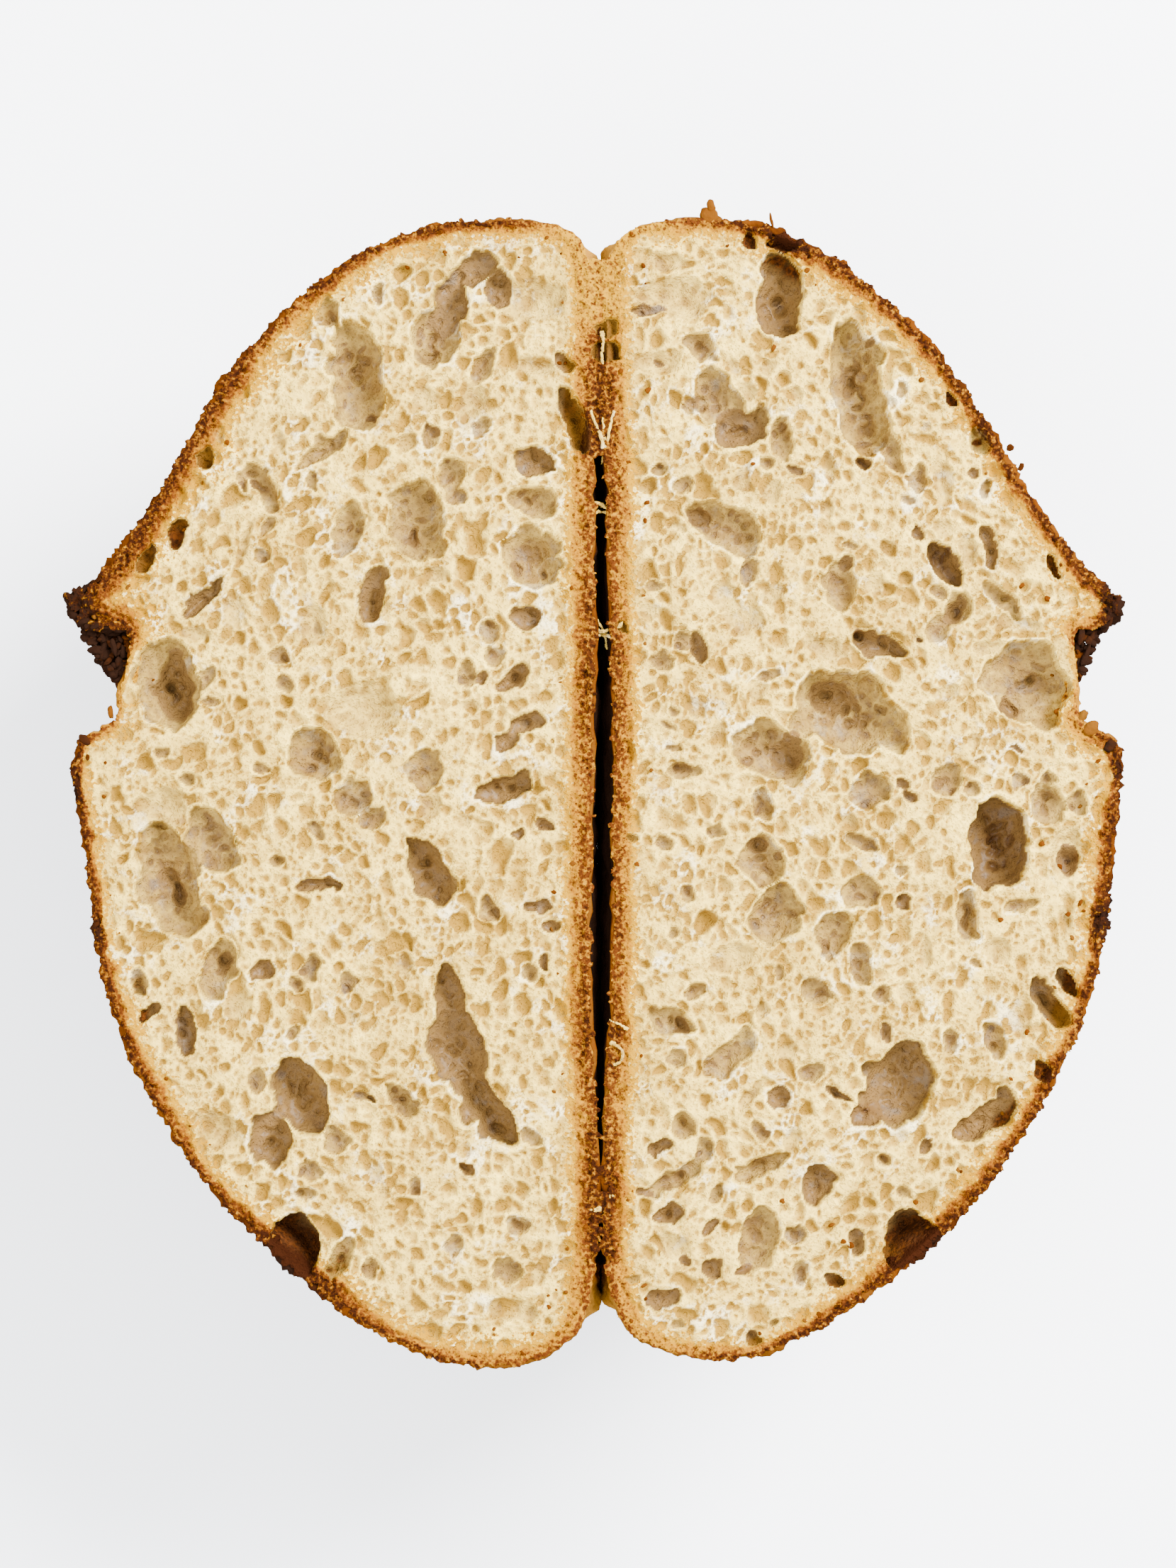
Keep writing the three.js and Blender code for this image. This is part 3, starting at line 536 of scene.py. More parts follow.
class CutFaces:
    """The height field over both cut faces, and what the finish reads from it.

    height is in millimetres from the cut plane, and is never above about zero.
    """

    MARGIN = 3.0
    COARSE = 1.0

    def __init__(self, step):
        self.step = step
        low = np.array(BOX_LOW[:2]) / MM - self.MARGIN
        high = np.array(BOX_HIGH[:2]) / MM + self.MARGIN
        self.coarse_x = np.arange(low[0], high[0] + self.COARSE, self.COARSE)
        self.coarse_y = np.arange(low[1], high[1] + self.COARSE, self.COARSE)
        xs = np.arange(low[0] + 1, high[0] - 1, step, dtype=np.float32)
        ys = np.arange(low[1] + 1, high[1] - 1, step, dtype=np.float32)
        self.x, self.y = np.meshgrid(xs, ys)
        self.measure_outline()
        self.height = np.zeros_like(self.x)
        self.shade = np.zeros_like(self.x)
        self.cell = np.zeros_like(self.x)
        self.rim = np.zeros_like(self.x)
        self.carve_hollows()
        self.wrap_hollows()
        self.carve_cells()
        self.finish_rind()

    def measure_outline(self):
        """Distances from the outline, and the way that the crumb was stretched."""
        far = -1e3
        halves = []
        for side, line in cut_outlines(0.9).items():
            there = self.coarse_x * side >= FOLD_X * side - 12
            part = np.full((len(self.coarse_y), len(self.coarse_x)), far, np.float32)
            part[:, there] = distance_inside(self.coarse_x[there], self.coarse_y, line)
            halves.append(part)
        self.coarse_rind = np.maximum(*halves)
        whole = self.coarse_rind.copy()
        gx, gy = np.meshgrid(self.coarse_x, self.coarse_y)
        for start, end, half_width in BRIDGES:
            across = half_width - np.abs(gx - FOLD_X)
            along = (end - start) / 2 - np.abs(gy - (start + end) / 2)
            whole = np.maximum(whole, np.minimum(across, along))
        self.coarse_whole = whole
        self.rind = self.read(self.coarse_rind, self.x, self.y)
        self.above = np.abs(self.x - FOLD_X)
        self.bake = self.by_side(lambda side: baking(side, self.above, self.y, 0))
        rough = crust_roughness(self.x, self.y, CUT_FACE_Z, self.bake)
        ear = smooth_step(9, 3, np.hypot(self.above - EAR_HEIGHT, self.y - EAR_PLACE))
        grit = 0.45 * CRUST_NOISE.flat(self.x, self.y + 500, 0.9)
        grit *= 0.3 + np.clip(self.bake, 0, 1.2) + 1.3 * ear
        self.shape = self.read(whole, self.x, self.y) + rough + grit
        self.wall = 0.5 + 2.2 * np.clip(self.read(whole, self.x, self.y) - 1.3, 0, 20)
        down, over = np.gradient(evened(self.coarse_rind, 8), self.COARSE)
        nx = self.read(over, self.x, self.y)
        ny = self.read(down, self.x, self.y)
        turn = 0.9 * CRUMB_NOISE.flat(self.x, self.y, 13.0)
        self.head_for(*turned(nx, ny, turn))

    def head_for(self, nx, ny):
        """Sets the way across the stretch of the small cells, as unit steps in x and y."""
        length = np.hypot(nx, ny) + 1e-6
        self.normal = nx / length, ny / length

    def by_side(self, values):
        """Values of the half that each grid point is on, from a function of the side."""
        return np.where(self.x < FOLD_X, values(LEFT), values(RIGHT))

    def read(self, grid, x, y):
        """A coarse grid read at any places."""
        return resample(grid, self.coarse_x[0], self.coarse_y[0], self.COARSE, x, y)

    def read_fine(self, grid, x, y):
        """A grid of the height field's own spacing read at any places."""
        return resample(grid, self.x[0, 0], self.y[0, 0], self.step, x, y)

    def carve_hollows(self):
        """The listed hollows, large ones first, each with lobes and dimples."""
        draw = np.random.default_rng(7)
        self.warp_x, self.warp_y = self.x.copy(), self.y.copy()
        for strength, wave, shift_x, shift_y in EDGE_WARPS:
            self.warp_x += strength * CRUMB_NOISE.flat(self.x + shift_x, self.y, wave)
            self.warp_y += strength * CRUMB_NOISE.flat(self.x, self.y + shift_y, wave)
        rows = []
        for side, hollows in HOLLOWS.items():
            for height, along, wide, long, lean, kind in hollows:
                rows.append((FOLD_X + side * height, along, wide, long, np.radians(lean), kind))
        rows.sort(key=lambda row: -row[2] * row[3])
        for x, y, wide, long, lean, kind in rows:
            oval = x, y, wide, long, lean
            mean = (wide * long) ** 0.5
            depth = min(DEEPEST, HOLLOW_DEPTH[kind] * mean + 0.4)
            wall = HOLLOW_WALL.get(kind)
            # Each hollow, lobe and dimple paints its shade into the tone as it is carved: painted shade
            self.carve(oval, depth, HOLLOW_SHADE[kind], wall)
            if kind == 1:
                continue
            for _ in range(int(1 + 0.5 * mean)):
                place, turn = place_on(oval, draw, 0.7, 0.95)
                size = mean * draw.uniform(0.15, 0.4)
                lobe = *place, size, size * draw.uniform(0.8, 1.5), turn
                self.carve(lobe, depth * 0.6, HOLLOW_SHADE[kind] * 0.9, wall, 0.0)
            for _ in range(int(wide * long / 2.5)):
                place, turn = place_on(oval, draw, 0, 0.8)
                size = draw.uniform(0.45, 1.2)
                dimple = *place, size, size * draw.uniform(0.8, 1.3), turn
                self.carve(dimple, 0.7 * size, HOLLOW_SHADE[kind] + draw.uniform(0.0, 0.2))

    def wrap_hollows(self):
        """Turns the stretch of the small cells so that they wrap round the hollows."""
        near = self.read_fine(self.height, *np.meshgrid(self.coarse_x, self.coarse_y))
        near = evened(np.clip(near, -6, 0), 10)
        down, over = np.gradient(near, self.COARSE)
        pull = 2.2
        self.head_for(self.normal[0] + pull * self.read(over, self.x, self.y),
                      self.normal[1] + pull * self.read(down, self.x, self.y))

    def window(self, middle, reach, start):
        """The grid points within reach of a middle, on one axis."""
        first = int((middle - reach - start) / self.step)
        return slice(max(0, first), int((middle + reach - start) / self.step) + 1)

    def carve(self, oval, depth, shade, wall=None, level=None):
        """One egg-shaped hollow, opening from the surface that is there already.

        oval is its middle, its half sizes and its lean. wall is the share of the depth
        that is steep, and level is where the hollow starts if not on that surface.
        """
        x, y, wide, long, lean = oval
        reach = max(wide, long) + 1.8
        columns = self.window(x, reach, self.x[0, 0])
        lines = self.window(y, reach, self.y[0, 0])
        dx = self.warp_x[lines, columns] - x
        dy = self.warp_y[lines, columns] - y
        if dx.size == 0:
            return
        across, along = turned(dx, dy, -lean)
        q = (across / wide) ** 2 + (along / long) ** 2
        z = self.height[lines, columns]
        nested = False
        if level is None:
            level = z[z.shape[0] // 2, z.shape[1] // 2] * 0.85
            nested = level < -0.8
            if nested and wall is not None:
                depth *= 0.55
        round_part = np.sqrt(np.clip(1 - q, 0, 1))
        if wall is not None and not nested:
            floor = level - depth * (wall + (1 - wall) * round_part)
            roof = level + depth * (0.78 * round_part - 0.22)
            hit = (q < 1) & (roof >= z - 0.05)
            # A band just outside the rim, where the cells are later thinned and lightened: a painted
            # highlight on the hollow's edge
            away = (np.sqrt(q) - 1) * (wide * long) ** 0.5
            ring = smooth_step(0.75, 0.35, away) * (q >= 1)
            self.rim[lines, columns] = np.maximum(self.rim[lines, columns] * (q >= 1), ring)
        else:
            floor = z - depth * np.clip(1 - q, 0, 1)
            hit = q < 1
        floor = np.maximum(floor, -self.wall[lines, columns])
        z[hit] = np.minimum(z, floor)[hit]
        # The hollow's tone, darkest towards its middle: painted shade, partly the walls' own darker
        # tone
        tone = self.shade[lines, columns]
        edge = smooth_step(1.0, 0.6 if nested else 0.88, q)
        edge = edge * (0.85 + 0.15 * smooth_step(0.9, 0.1, q))
        blend = tone + (shade - tone) * edge
        tone[hit] = np.maximum(tone, blend)[hit]

    def nearest(self, spacing, seed, stretch):
        """Distances to the two nearest cell middles, and the nearest one's own draws."""
        side = 128
        table = np.random.default_rng(seed).random((side, side, 6)).astype(np.float32)
        nx, ny = self.normal
        ix = np.floor(self.warp_x / spacing).astype(np.int32)
        iy = np.floor(self.warp_y / spacing).astype(np.int32)
        first = np.full(self.x.shape, 9.0, np.float32)
        second = first.copy()
        own = [np.zeros_like(first) for _ in range(3)]
        for ox in (-1, 0, 1):
            for oy in (-1, 0, 1):
                r = table[(ix + ox) % side, (iy + oy) % side]
                dx = self.warp_x / spacing - (ix + ox + 0.17 + 0.66 * r[..., 0])
                dy = self.warp_y / spacing - (iy + oy + 0.17 + 0.66 * r[..., 1])
                across = dx * nx + dy * ny
                along = (dy * nx - dx * ny) / (1 + stretch * r[..., 2])
                away = np.hypot(across, along)
                closer = away < first
                second = np.where(closer, first, np.minimum(second, away))
                for k in range(3):
                    own[k] = np.where(closer, r[..., 3 + k], own[k])
                first = np.where(closer, away, first)
        return first, second, own

    def bubbles(self, spacing, seed, stretch, filled, smallest, largest, wall):
        """One layer of round bubbles with walls between: their depth and their tone, which is painted
        shade, darker in deeper bubbles, and partly the cells' golden tone.
        """
        first, second, (gate, size, deep) = self.nearest(spacing, seed, stretch)
        radius = (smallest + (largest - smallest) * size**1.4) / spacing
        inside = np.clip(1 - (first / radius) ** 2, 0, 1)
        inside = np.minimum(inside, np.clip((second - first - wall / spacing) / 0.3, 0, 1))
        inside = np.sqrt(np.where(gate < filled, inside, 0))
        return inside * radius * spacing * (0.65 + 0.6 * deep), inside * (0.6 + 0.6 * deep)

    def carve_cells(self):
        """Small cells everywhere, fine near the crust and faint inside hollows."""
        wander = 2.2 * CRUMB_NOISE.flat(self.x, self.y + 300, 9.0)
        reach = np.minimum(self.rind * 1.3, 0.7 * self.above) + wander
        self.fine = smooth_step(7.0, 3.0, reach)
        inside = smooth_step(0.3, 1.4, -self.height)
        depth = np.zeros_like(self.x)
        for tight, strength, layer in BUBBLES:
            bowl, tone = self.bubbles(*layer)
            share = (1 - (1 - tight) * self.fine) * (1 - 0.6 * self.rim)
            bowl, tone = bowl * share, tone * share * strength * (1 + 0.5 * self.fine)
            depth = np.where(bowl > depth, bowl, depth + 0.22 * bowl)
            # The cells' tone: painted shade, partly their golden tone
            self.cell = np.where(tone > self.cell, tone, self.cell + 0.2 * tone)
        # Lighter along hollow rims, a painted highlight, and fainter inside hollows
        fade = np.clip(0.6 + 1.1 * CRUMB_NOISE.flat(self.x + 31, self.y, 3.3), 0, 1)
        self.cell = self.cell * (1 - 0.5 * inside) - 0.32 * self.rim * fade
        self.height -= depth * (1 - 0.7 * inside)
        grain = 0.16 * CRUMB_NOISE.flat(self.x, self.y + 400, 1.5)
        grain += 0.1 * CRUMB_NOISE.flat(self.x + 400, self.y, 0.75)
        slow = 0.45 * CRUMB_NOISE.flat(self.x + 700, self.y, 6.0)
        self.height += (grain + slow) * (1 - 0.5 * inside) - 0.5
        inner = 0.6 * self.height[1:-1, 1:-1] + 0.1 * around(self.height)
        self.height[1:-1, 1:-1] = inner

    def finish_rind(self):
        """The browned crust where the knife cut through it."""
        self.bake += 0.18 * CRUST_NOISE.flat(self.x, self.y, 17.0)
        self.bake += 0.12 * CRUST_NOISE.flat(self.x, self.y, 5.0)
        thick = 1.5 + 1.4 * smooth_step(10, 4, self.above)
        thick += 0.35 * CRUST_NOISE.flat(self.x, self.y + 90, 9.0)
        thick += 0.4 * CRUST_NOISE.flat(self.x, self.y + 160, 2.6)
        thick += self.by_side(lambda side: marked(THICK_PLACES, side, self.above, self.y))
        whole = smooth_step(99, 104, self.y) * smooth_step(4.5, 2.5, self.above)
        edge = self.rind + whole * (self.read(self.coarse_whole, self.x, self.y) - self.rind)
        layers = edge / np.maximum(thick, 0.4)
        hinge = smooth_step(96, 104, self.y) * smooth_step(6.5, 2, self.above)
        self.layers_in = layers - 0.85 * hinge * np.maximum(layers - 1.9, 0)
        band = smooth_step(2.2, 1.2, self.layers_in)
        pits, _ = self.bubbles(1.3, 71, 1.6, 0.6, 0.25, 0.6, 0.1)
        ridge = 0.4 * CRUST_NOISE.flat(self.x, self.y, 1.6)
        ridge += 0.3 * CRUST_NOISE.flat(self.x, self.y, 0.7)
        self.height += band * (ridge - pits * 1.1) * (0.7 + 0.7 * np.clip(self.bake, 0, 1.5))
        self.height = np.clip(self.height, -self.wall, 0)
        edge = np.clip(1 - self.shape / 0.9, 0, 1)
        self.height -= 0.4 * edge**2
        # A darker line along the fold crease, added to the bake: painted shade in the crease
        wander = 0.7 * CRUST_NOISE.flat(np.zeros_like(self.x), self.y, 6.0)
        wander += 0.4 * CRUST_NOISE.flat(self.x, self.y, 1.9)
        self.bake += 0.5 * np.exp(-((self.x - FOLD_X - wander) / 0.5) ** 2)

    def drawn_in(self, x, y, far, rounds):
        """A closed line moved in from the outline by its own distances, and evened out."""
        steps = 8
        down, over = np.gradient(self.coarse_whole, self.COARSE)
        for _ in range(steps):
            x, y = x + far / steps * self.read(over, x, y), y + far / steps * self.read(down, x, y)
        for _ in range(rounds):
            even_x = (np.roll(x, 1) + 2 * x + np.roll(x, -1)) / 4
            even_y = (np.roll(y, 1) + 2 * y + np.roll(y, -1)) / 4
            x, y = np.where(far > 0, even_x, x), np.where(far > 0, even_y, y)
        return x, y

    def kept_squares(self):
        """Which grid squares are loaf, without specks or corner-only contacts."""
        inside = self.shape > -0.3 * self.step
        keep = inside[:-1, :-1] & inside[1:, :-1] & inside[:-1, 1:] & inside[1:, 1:]
        sound = keep & (self.shape[:-1, :-1] > 2.0)
        for _ in range(int(3.5 / self.step)):
            grown = sound.copy()
            grown[1:] |= sound[:-1]
            grown[:-1] |= sound[1:]
            grown[:, 1:] |= sound[:, :-1]
            grown[:, :-1] |= sound[:, 1:]
            sound = grown & keep
        a, b, c, d = sound[:-1, :-1], sound[:-1, 1:], sound[1:, :-1], sound[1:, 1:]
        while (a & d & ~b & ~c).any() or (b & c & ~a & ~d).any():
            b |= a & d & ~c
            a |= b & c & ~d
        return sound


def make_mesh(name, points, faces, layers):
    """A mesh object from points in millimetres, face arrays and point layers."""
    mesh = bpy.data.meshes.new(name)
    corners = np.concatenate([np.asarray(f, np.int32).ravel() for f in faces])
    sizes = np.concatenate([np.full(len(f), len(f[0]), np.int32) for f in faces])
    mesh.vertices.add(len(points))
    mesh.vertices.foreach_set("co", (np.asarray(points, np.float32) * MM).ravel())
    mesh.loops.add(len(corners))
    mesh.loops.foreach_set("vertex_index", corners)
    mesh.polygons.add(len(sizes))
    mesh.polygons.foreach_set("loop_start", (np.cumsum(sizes) - sizes).astype(np.int32))
    mesh.polygons.foreach_set("use_smooth", np.ones(len(sizes), bool))
    mesh.update(calc_edges=True)
    mesh.validate()
    for layer, values in layers.items():
        attribute = mesh.attributes.new(layer, "FLOAT", "POINT")
        attribute.data.foreach_set("value", np.asarray(values, np.float32))
    piece = bpy.data.objects.new(name, mesh)
    bpy.context.collection.objects.link(piece)
    return piece


def border_loops(quads):
    """The closed borders of a surface of quads, each as a list of corners in turn."""
    starts = quads.ravel().astype(np.int64)
    ends = np.roll(quads, -1, axis=1).ravel().astype(np.int64)
    span = int(quads.max()) + 1
    there = starts * span + ends
    back = ends * span + starts
    open_edges = ~np.isin(there, back)
    follow = dict(zip(starts[open_edges].tolist(), ends[open_edges].tolist()))
    loops = []
    while follow:
        first, at = follow.popitem()
        loop = [first]
        while at != first:
            loop.append(at)
            at = follow.pop(at)
        loops.append(loop)
    return loops


def crumb_quarter(name, face, squares):
    """One closed piece of crumb: its carved top, a short rim and a hidden body."""
    rows, columns = face.x.shape
    index = np.arange(rows * columns).reshape(rows, columns)
    quads = np.stack([index[:-1, :-1], index[:-1, 1:], index[1:, 1:], index[1:, :-1]], -1)[squares]
    used, quads = np.unique(quads, return_inverse=True)
    quads = quads.reshape(-1, 4)
    x, y, z = (grid.ravel()[used] for grid in (face.x, face.y, face.height))
    shape = face.shape.ravel()[used]
    down, over = np.gradient(face.shape, face.step)
    gx, gy = over.ravel()[used], down.ravel()[used]
    loops = border_loops(quads)
    rim = np.concatenate([np.array(loop) for loop in loops])
    slope = np.maximum(gx[rim] ** 2 + gy[rim] ** 2, 0.3)
    outer = np.abs(shape[rim]) < 1.6 * face.step
    pull = np.where(outer, np.clip(shape[rim], -0.7 * face.step, 1.2 * face.step) / slope, 0)
    x[rim] -= pull * gx[rim]
    y[rim] -= pull * gy[rim]
    points = [np.stack([x, y, z], 1)]
    faces = [quads]
    count = len(x)
    outside = np.zeros(count, bool)
    outside[rim[np.abs(shape[rim]) < 6 * face.step]] = True
    sources = [np.arange(count)]
    for loop in loops:
        loop = np.array(loop)
        n = len(loop)
        below = np.minimum(z[loop], -RIM_DROP) - 0.05
        first = face.drawn_in(x[loop], y[loop], np.where(outside[loop], 0.4, 0), 0)
        second = face.drawn_in(x[loop], y[loop], np.where(outside[loop], 2.4, 0), 16)
        third = face.drawn_in(*second, np.where(outside[loop], 1.6, 0), 16)
        levels = below, np.minimum(below - 0.2, -3.2), np.full(n, UNDERSIDE)
        upper = loop
        for line, level in zip((first, second, third), levels):
            points.append(np.stack([*line, level], 1))
            sources.append(loop)
            lower = count + np.arange(n)
            faces.append(np.stack([np.roll(upper, -1), upper, lower, np.roll(lower, -1)], 1))
            upper = lower
            count += n
        faces.append([lower[::-1].tolist()])
    points = np.concatenate(points)
    points[:, 2] += CUT_FACE_Z
    source = used[np.concatenate(sources)]
    grids = {"cell": face.cell, "shade": face.shade, "rind": face.layers_in,
             "bake": face.bake, "fine": face.fine}
    layers = {layer: grid.ravel()[source] for layer, grid in grids.items()}
    piece = make_mesh(name, points, faces, layers)
    normals = np.array([v.vector for v in piece.data.vertex_normals])
    tilt_y, tilt_x = (grid.ravel()[used] for grid in np.gradient(face.height, face.step))
    top = np.stack([-tilt_x, -tilt_y, np.ones(len(used))], 1)
    normals[:len(used)] = top / np.linalg.norm(top, axis=1, keepdims=True)
    piece.data.normals_split_custom_set_from_vertices(normals)
    return piece


def carried_down(side, line, depth):
    """The crust's rings: the cut outline carried down to each depth."""
    height, along = line[:, 0][None], line[:, 1][None]
    t = depth / END_RADIUS
    narrowing = np.sqrt(1 - t * t)
    opening = np.sqrt(np.clip(1 - (depth / SCORE_DEPTH) ** 2, 0, 1))
    nearness = np.exp(-(((along - SCORE_MIDDLE) / SCORE_REACH) ** 4))
    moved = along - (along - SCORE_MIDDLE) * (1 - opening) * nearness
    crown = CROWN_HEIGHT - CROWN_FALL * (moved - CROWN_MIDDLE) ** 2
    raised = height + (crown - height) * (1 - opening) * np.where(height > 90, nearness, 0)
    rise = WIDEST_HEIGHT + (raised - WIDEST_HEIGHT) * narrowing
    low = WIDEST_HEIGHT - (WIDEST_HEIGHT - raised) * np.cbrt(1 - t**BASE_FLATNESS)
    rise = np.where(raised < WIDEST_HEIGHT, low, rise)
    swell = 0
    for i, (wave, down, share) in enumerate(SWELLS):
        phase = 1.9 * i + 2.3 * side
        ripple = share * np.sin(2 * np.pi * along / wave + phase + np.sin(depth / down + i))
        swell = swell + ripple * np.cos(2 * np.pi * depth / down + 0.7 * phase)
    swell = 1.3 * swell * np.minimum(1, depth / 22) * narrowing
    swell = swell * np.minimum(1, raised / WIDEST_HEIGHT)
    return rise + swell, moved * narrowing + 0.4 * swell, opening * np.ones_like(height)


def crust_shell(name, side, step):
    """The crust of one half: a closed shell with a recess that the crumb sits in."""
    line = smooth_line(SECTIONS[side], 0.75 * step)
    on_base = (line[:, 0] < 3.2) & (np.abs(line[:, 1]) < 96)
    line = line[~on_base | (np.arange(len(line)) % 4 == 0)]
    last = np.arcsin((END_RADIUS - 1.2) / END_RADIUS)
    first = np.arcsin(1.0 / END_RADIUS)
    ring_count = int(0.66 * END_RADIUS * last / step)
    depths = END_RADIUS * np.sin(first + (last - first) * np.linspace(0, 1, ring_count) ** 1.3)
    depth = depths[:, None] * np.ones_like(line[:, 0])[None]
    for start, end, _ in BRIDGES:
        under = smooth_step(start + 0.5, start + 3.5, line[:, 1])
        under = under * smooth_step(end - 0.5, end - 3.5, line[:, 1])
        depth = depth + 6.0 * under * (line[:, 0] < 4.0) * (1 - depth / END_RADIUS)
    rise, along, opening = carried_down(side, line, depth)
    closing = smooth_step(2.5, 11, depth) * smooth_step(4.5, 3.0, rise)
    sliver = smooth_step(-24, -16, along) * smooth_step(18, 10, along) if side == LEFT else 0
    rise = rise - closing * (1 - 0.8 * sliver) * (rise - 0.15)
    x = FOLD_X + side * rise
    z = CUT_FACE_Z - depth
    points = np.stack([x, along, z], -1)
    round_way = np.roll(points, -1, 1) - np.roll(points, 1, 1)
    down_way = np.gradient(points, axis=0)
    normal = np.cross(round_way, down_way) * side
    normal /= np.linalg.norm(normal, axis=-1, keepdims=True) + 1e-9
    deep = smooth_step(0.5, 5.0, depth)
    height, place = (line[:, k][None] * np.ones_like(x) for k in (0, 1))
    low_side = smooth_step(6, 2.5, rise)
    in_score = smooth_step(10.5, 15, place) * smooth_step(37.5, 35.5, place)
    in_score = in_score * smooth_step(90, 99, height) * smooth_step(0.02, 0.35, opening)
    under_ear = in_score * smooth_step(22, 27, place)
    bake = baking(side, rise, along, depth)
    rough = crust_roughness(x, along, z, bake)
    blister = crust_blisters(x, along, z) * deep * (1 - in_score) * (1 - low_side)
    torn = 0.8 * CRUST_NOISE.solid(x * 0.5, along * 1.6, z, 4.0) * in_score * deep
    ear = smooth_step(9, 2, np.hypot(height - EAR_HEIGHT, place - EAR_PLACE)) * opening
    ragged = CRUST_NOISE.solid(x, along, z, 2.8)
    ragged = (ragged + 0.7 * CRUST_NOISE.solid(x + 40, along, z, 1.3)) * ear * deep
    lift = rough + blister + torn + ragged
    skin = points + normal * lift[..., None]
    skin[..., 2] = np.maximum(skin[..., 2], 0)
    skin[-1, :, 2] = 0
    deep_ring = int(np.searchsorted(depths, -UNDERSIDE + 1.5))
    levels = np.round(np.linspace(deep_ring, 0, 6)).astype(int)
    recess = points[levels] - normal[levels] * np.where(levels > 0, 1.8, 1.1)[:, None, None]
    rings = np.concatenate([recess, skin])
    index, quads = ring_quads(*rings.shape[:2])
    caps = [index[0][::-1].tolist(), index[-1].tolist()]
    if side == LEFT:
        quads = quads[:, ::-1]
        caps = [cap[::-1] for cap in caps]
    bake = bake + 0.2 * CRUST_NOISE.solid(x, along, z, 19.0)
    bake = bake + 0.12 * CRUST_NOISE.solid(x, along, z, 6.0)
    bake = bake - 0.55 * in_score + 1.3 * under_ear + 0.7 * ear
    # Darker down the flanks that face each other across the knife gap, added to the bake: painted shade
    # in the gap
    bake = bake + 1.2 * low_side * smooth_step(0.8, 3.5, depth) * smooth_step(110, 98, np.abs(along))
    values = {
        "bake": bake,
        "score": in_score - under_ear,
        "blister": np.clip(blister / 1.1, 0, 1),
    }
    layers = {key: np.concatenate([grid[levels], grid]).ravel() for key, grid in values.items()}
    return make_mesh(name, rings.reshape(-1, 3), [quads, [caps[0]], [caps[1]]], layers)


def soft_tube(path, radius, seed, flat=0.6, sides=8):
    """A thin uneven strand of crumb along a path: its points, faces and closed ends."""
    draw = np.random.default_rng(seed)
    path = np.array(path, float)
    count = 22
    place = np.linspace(0, len(path) - 1, count)
    middle = np.stack([np.interp(place, range(len(path)), path[:, k]) for k in range(3)], 1)
    for _ in range(3):
        middle[1:-1] = (middle[:-2] + 2 * middle[1:-1] + middle[2:]) / 4
    middle[1:-1] += draw.normal(0, 0.3 * radius, (count - 2, 3))
    way = np.gradient(middle, axis=0)
    way /= np.linalg.norm(way, axis=1, keepdims=True)
    across = np.cross(way, (0, 0, 1))
    across /= np.linalg.norm(across, axis=1, keepdims=True) + 1e-9
    up = np.cross(across, way)
    spread = 1 + 0.9 * np.abs(np.linspace(-1, 1, count)) ** 3
    sizes = radius * spread * draw.uniform(0.75, 1.25, count)
    turn = np.linspace(0, 2 * np.pi, sides, endpoint=False)
    ring = across[:, None] * np.cos(turn)[None, :, None]
    ring = ring + flat * up[:, None] * np.sin(turn)[None, :, None]
    sizes = sizes[:, None] * draw.uniform(0.85, 1.15, (count, sides))
    points = middle[:, None] + ring * sizes[..., None]
    index, quads = ring_quads(count, sides)
    return points.reshape(-1, 3), [quads, index[:1, ::-1], index[-1:]]


def loose_crumbs():
    """Places, sizes and bakes of small crumbs strewn near the crust and the fold."""
    draw = np.random.default_rng(41)
    rows = []
    for side, line in cut_outlines(2.0).items():
        outward = np.roll(line, -1, 0) - np.roll(line, 1, 0)
        inward = np.stack([outward[:, 1], -outward[:, 0]], 1) * side
        inward /= np.linalg.norm(inward, axis=1, keepdims=True)
        for _ in range(64):
            at = draw.integers(len(line))
            x, y = line[at] + inward[at] * draw.uniform(0.8, 9)
            size = draw.uniform(0.22, 0.5)
            sizes = (size * draw.uniform(1, 1.7), size, size * 0.7)
            rows.append(((x, y, -0.4), sizes, draw.uniform(0, 180), draw.uniform(0.2, 0.75)))
    return rows


def score_shreds():
    """Dark crumbly shreds that hang under each ear, over the opened score."""
    draw = np.random.default_rng(43)
    rows = []
    for side, count, outer in SHREDS:
        for _ in range(count):
            down = draw.uniform(0, 1)
            edge = [np.interp(down, (0, 0.6, 1), [corner[k] for corner in outer]) for k in (0, 1)]
            root = (104.4, 35 - 11 * down)
            part = draw.uniform(-0.2, 1)
            height, along = (a * (1 - part) + b * part for a, b in zip(root, edge))
            size = draw.uniform(0.3, 1.0)
            sizes = (size, size * draw.uniform(1, 2), size * 0.8)
            place = (FOLD_X + side * height, along, draw.uniform(-7, -2.5))
            rows.append((place, sizes, draw.uniform(0, 180), draw.uniform(0.7, 1.3) + 0.3 * part))
    return rows


def flake_arrays(template, rows, face):
    """Rough little lumps from one template, each sunk slightly into what it lies on."""
    corners, triangles = template
    points, faces, bakes = [], [], []
    for number, ((x, y, z), sizes, turn, bake) in enumerate(rows):
        bumps = CRUST_NOISE.solid(*(corners.T * 1.3 + number * 7.7), 1.0)
        lump = corners * (1 + 0.38 * bumps)[:, None] * sizes
        flat = turned(lump[:, 0], lump[:, 1], np.radians(turn))
        lump = np.stack([*flat, lump[:, 2]], 1)
        surface, inside = (face.read_fine(grid, np.array([x]), np.array([y]))[0]
                           for grid in (face.height, face.shape))
        level = surface + 0.35 * sizes[2] if inside > 1 else z
        points.append(lump + (x, y, CUT_FACE_Z + level))
        faces.append(triangles + number * len(corners))
        bakes.append(np.full(len(corners), bake + 0.15))
    return np.concatenate(points), np.concatenate(faces), np.concatenate(bakes)


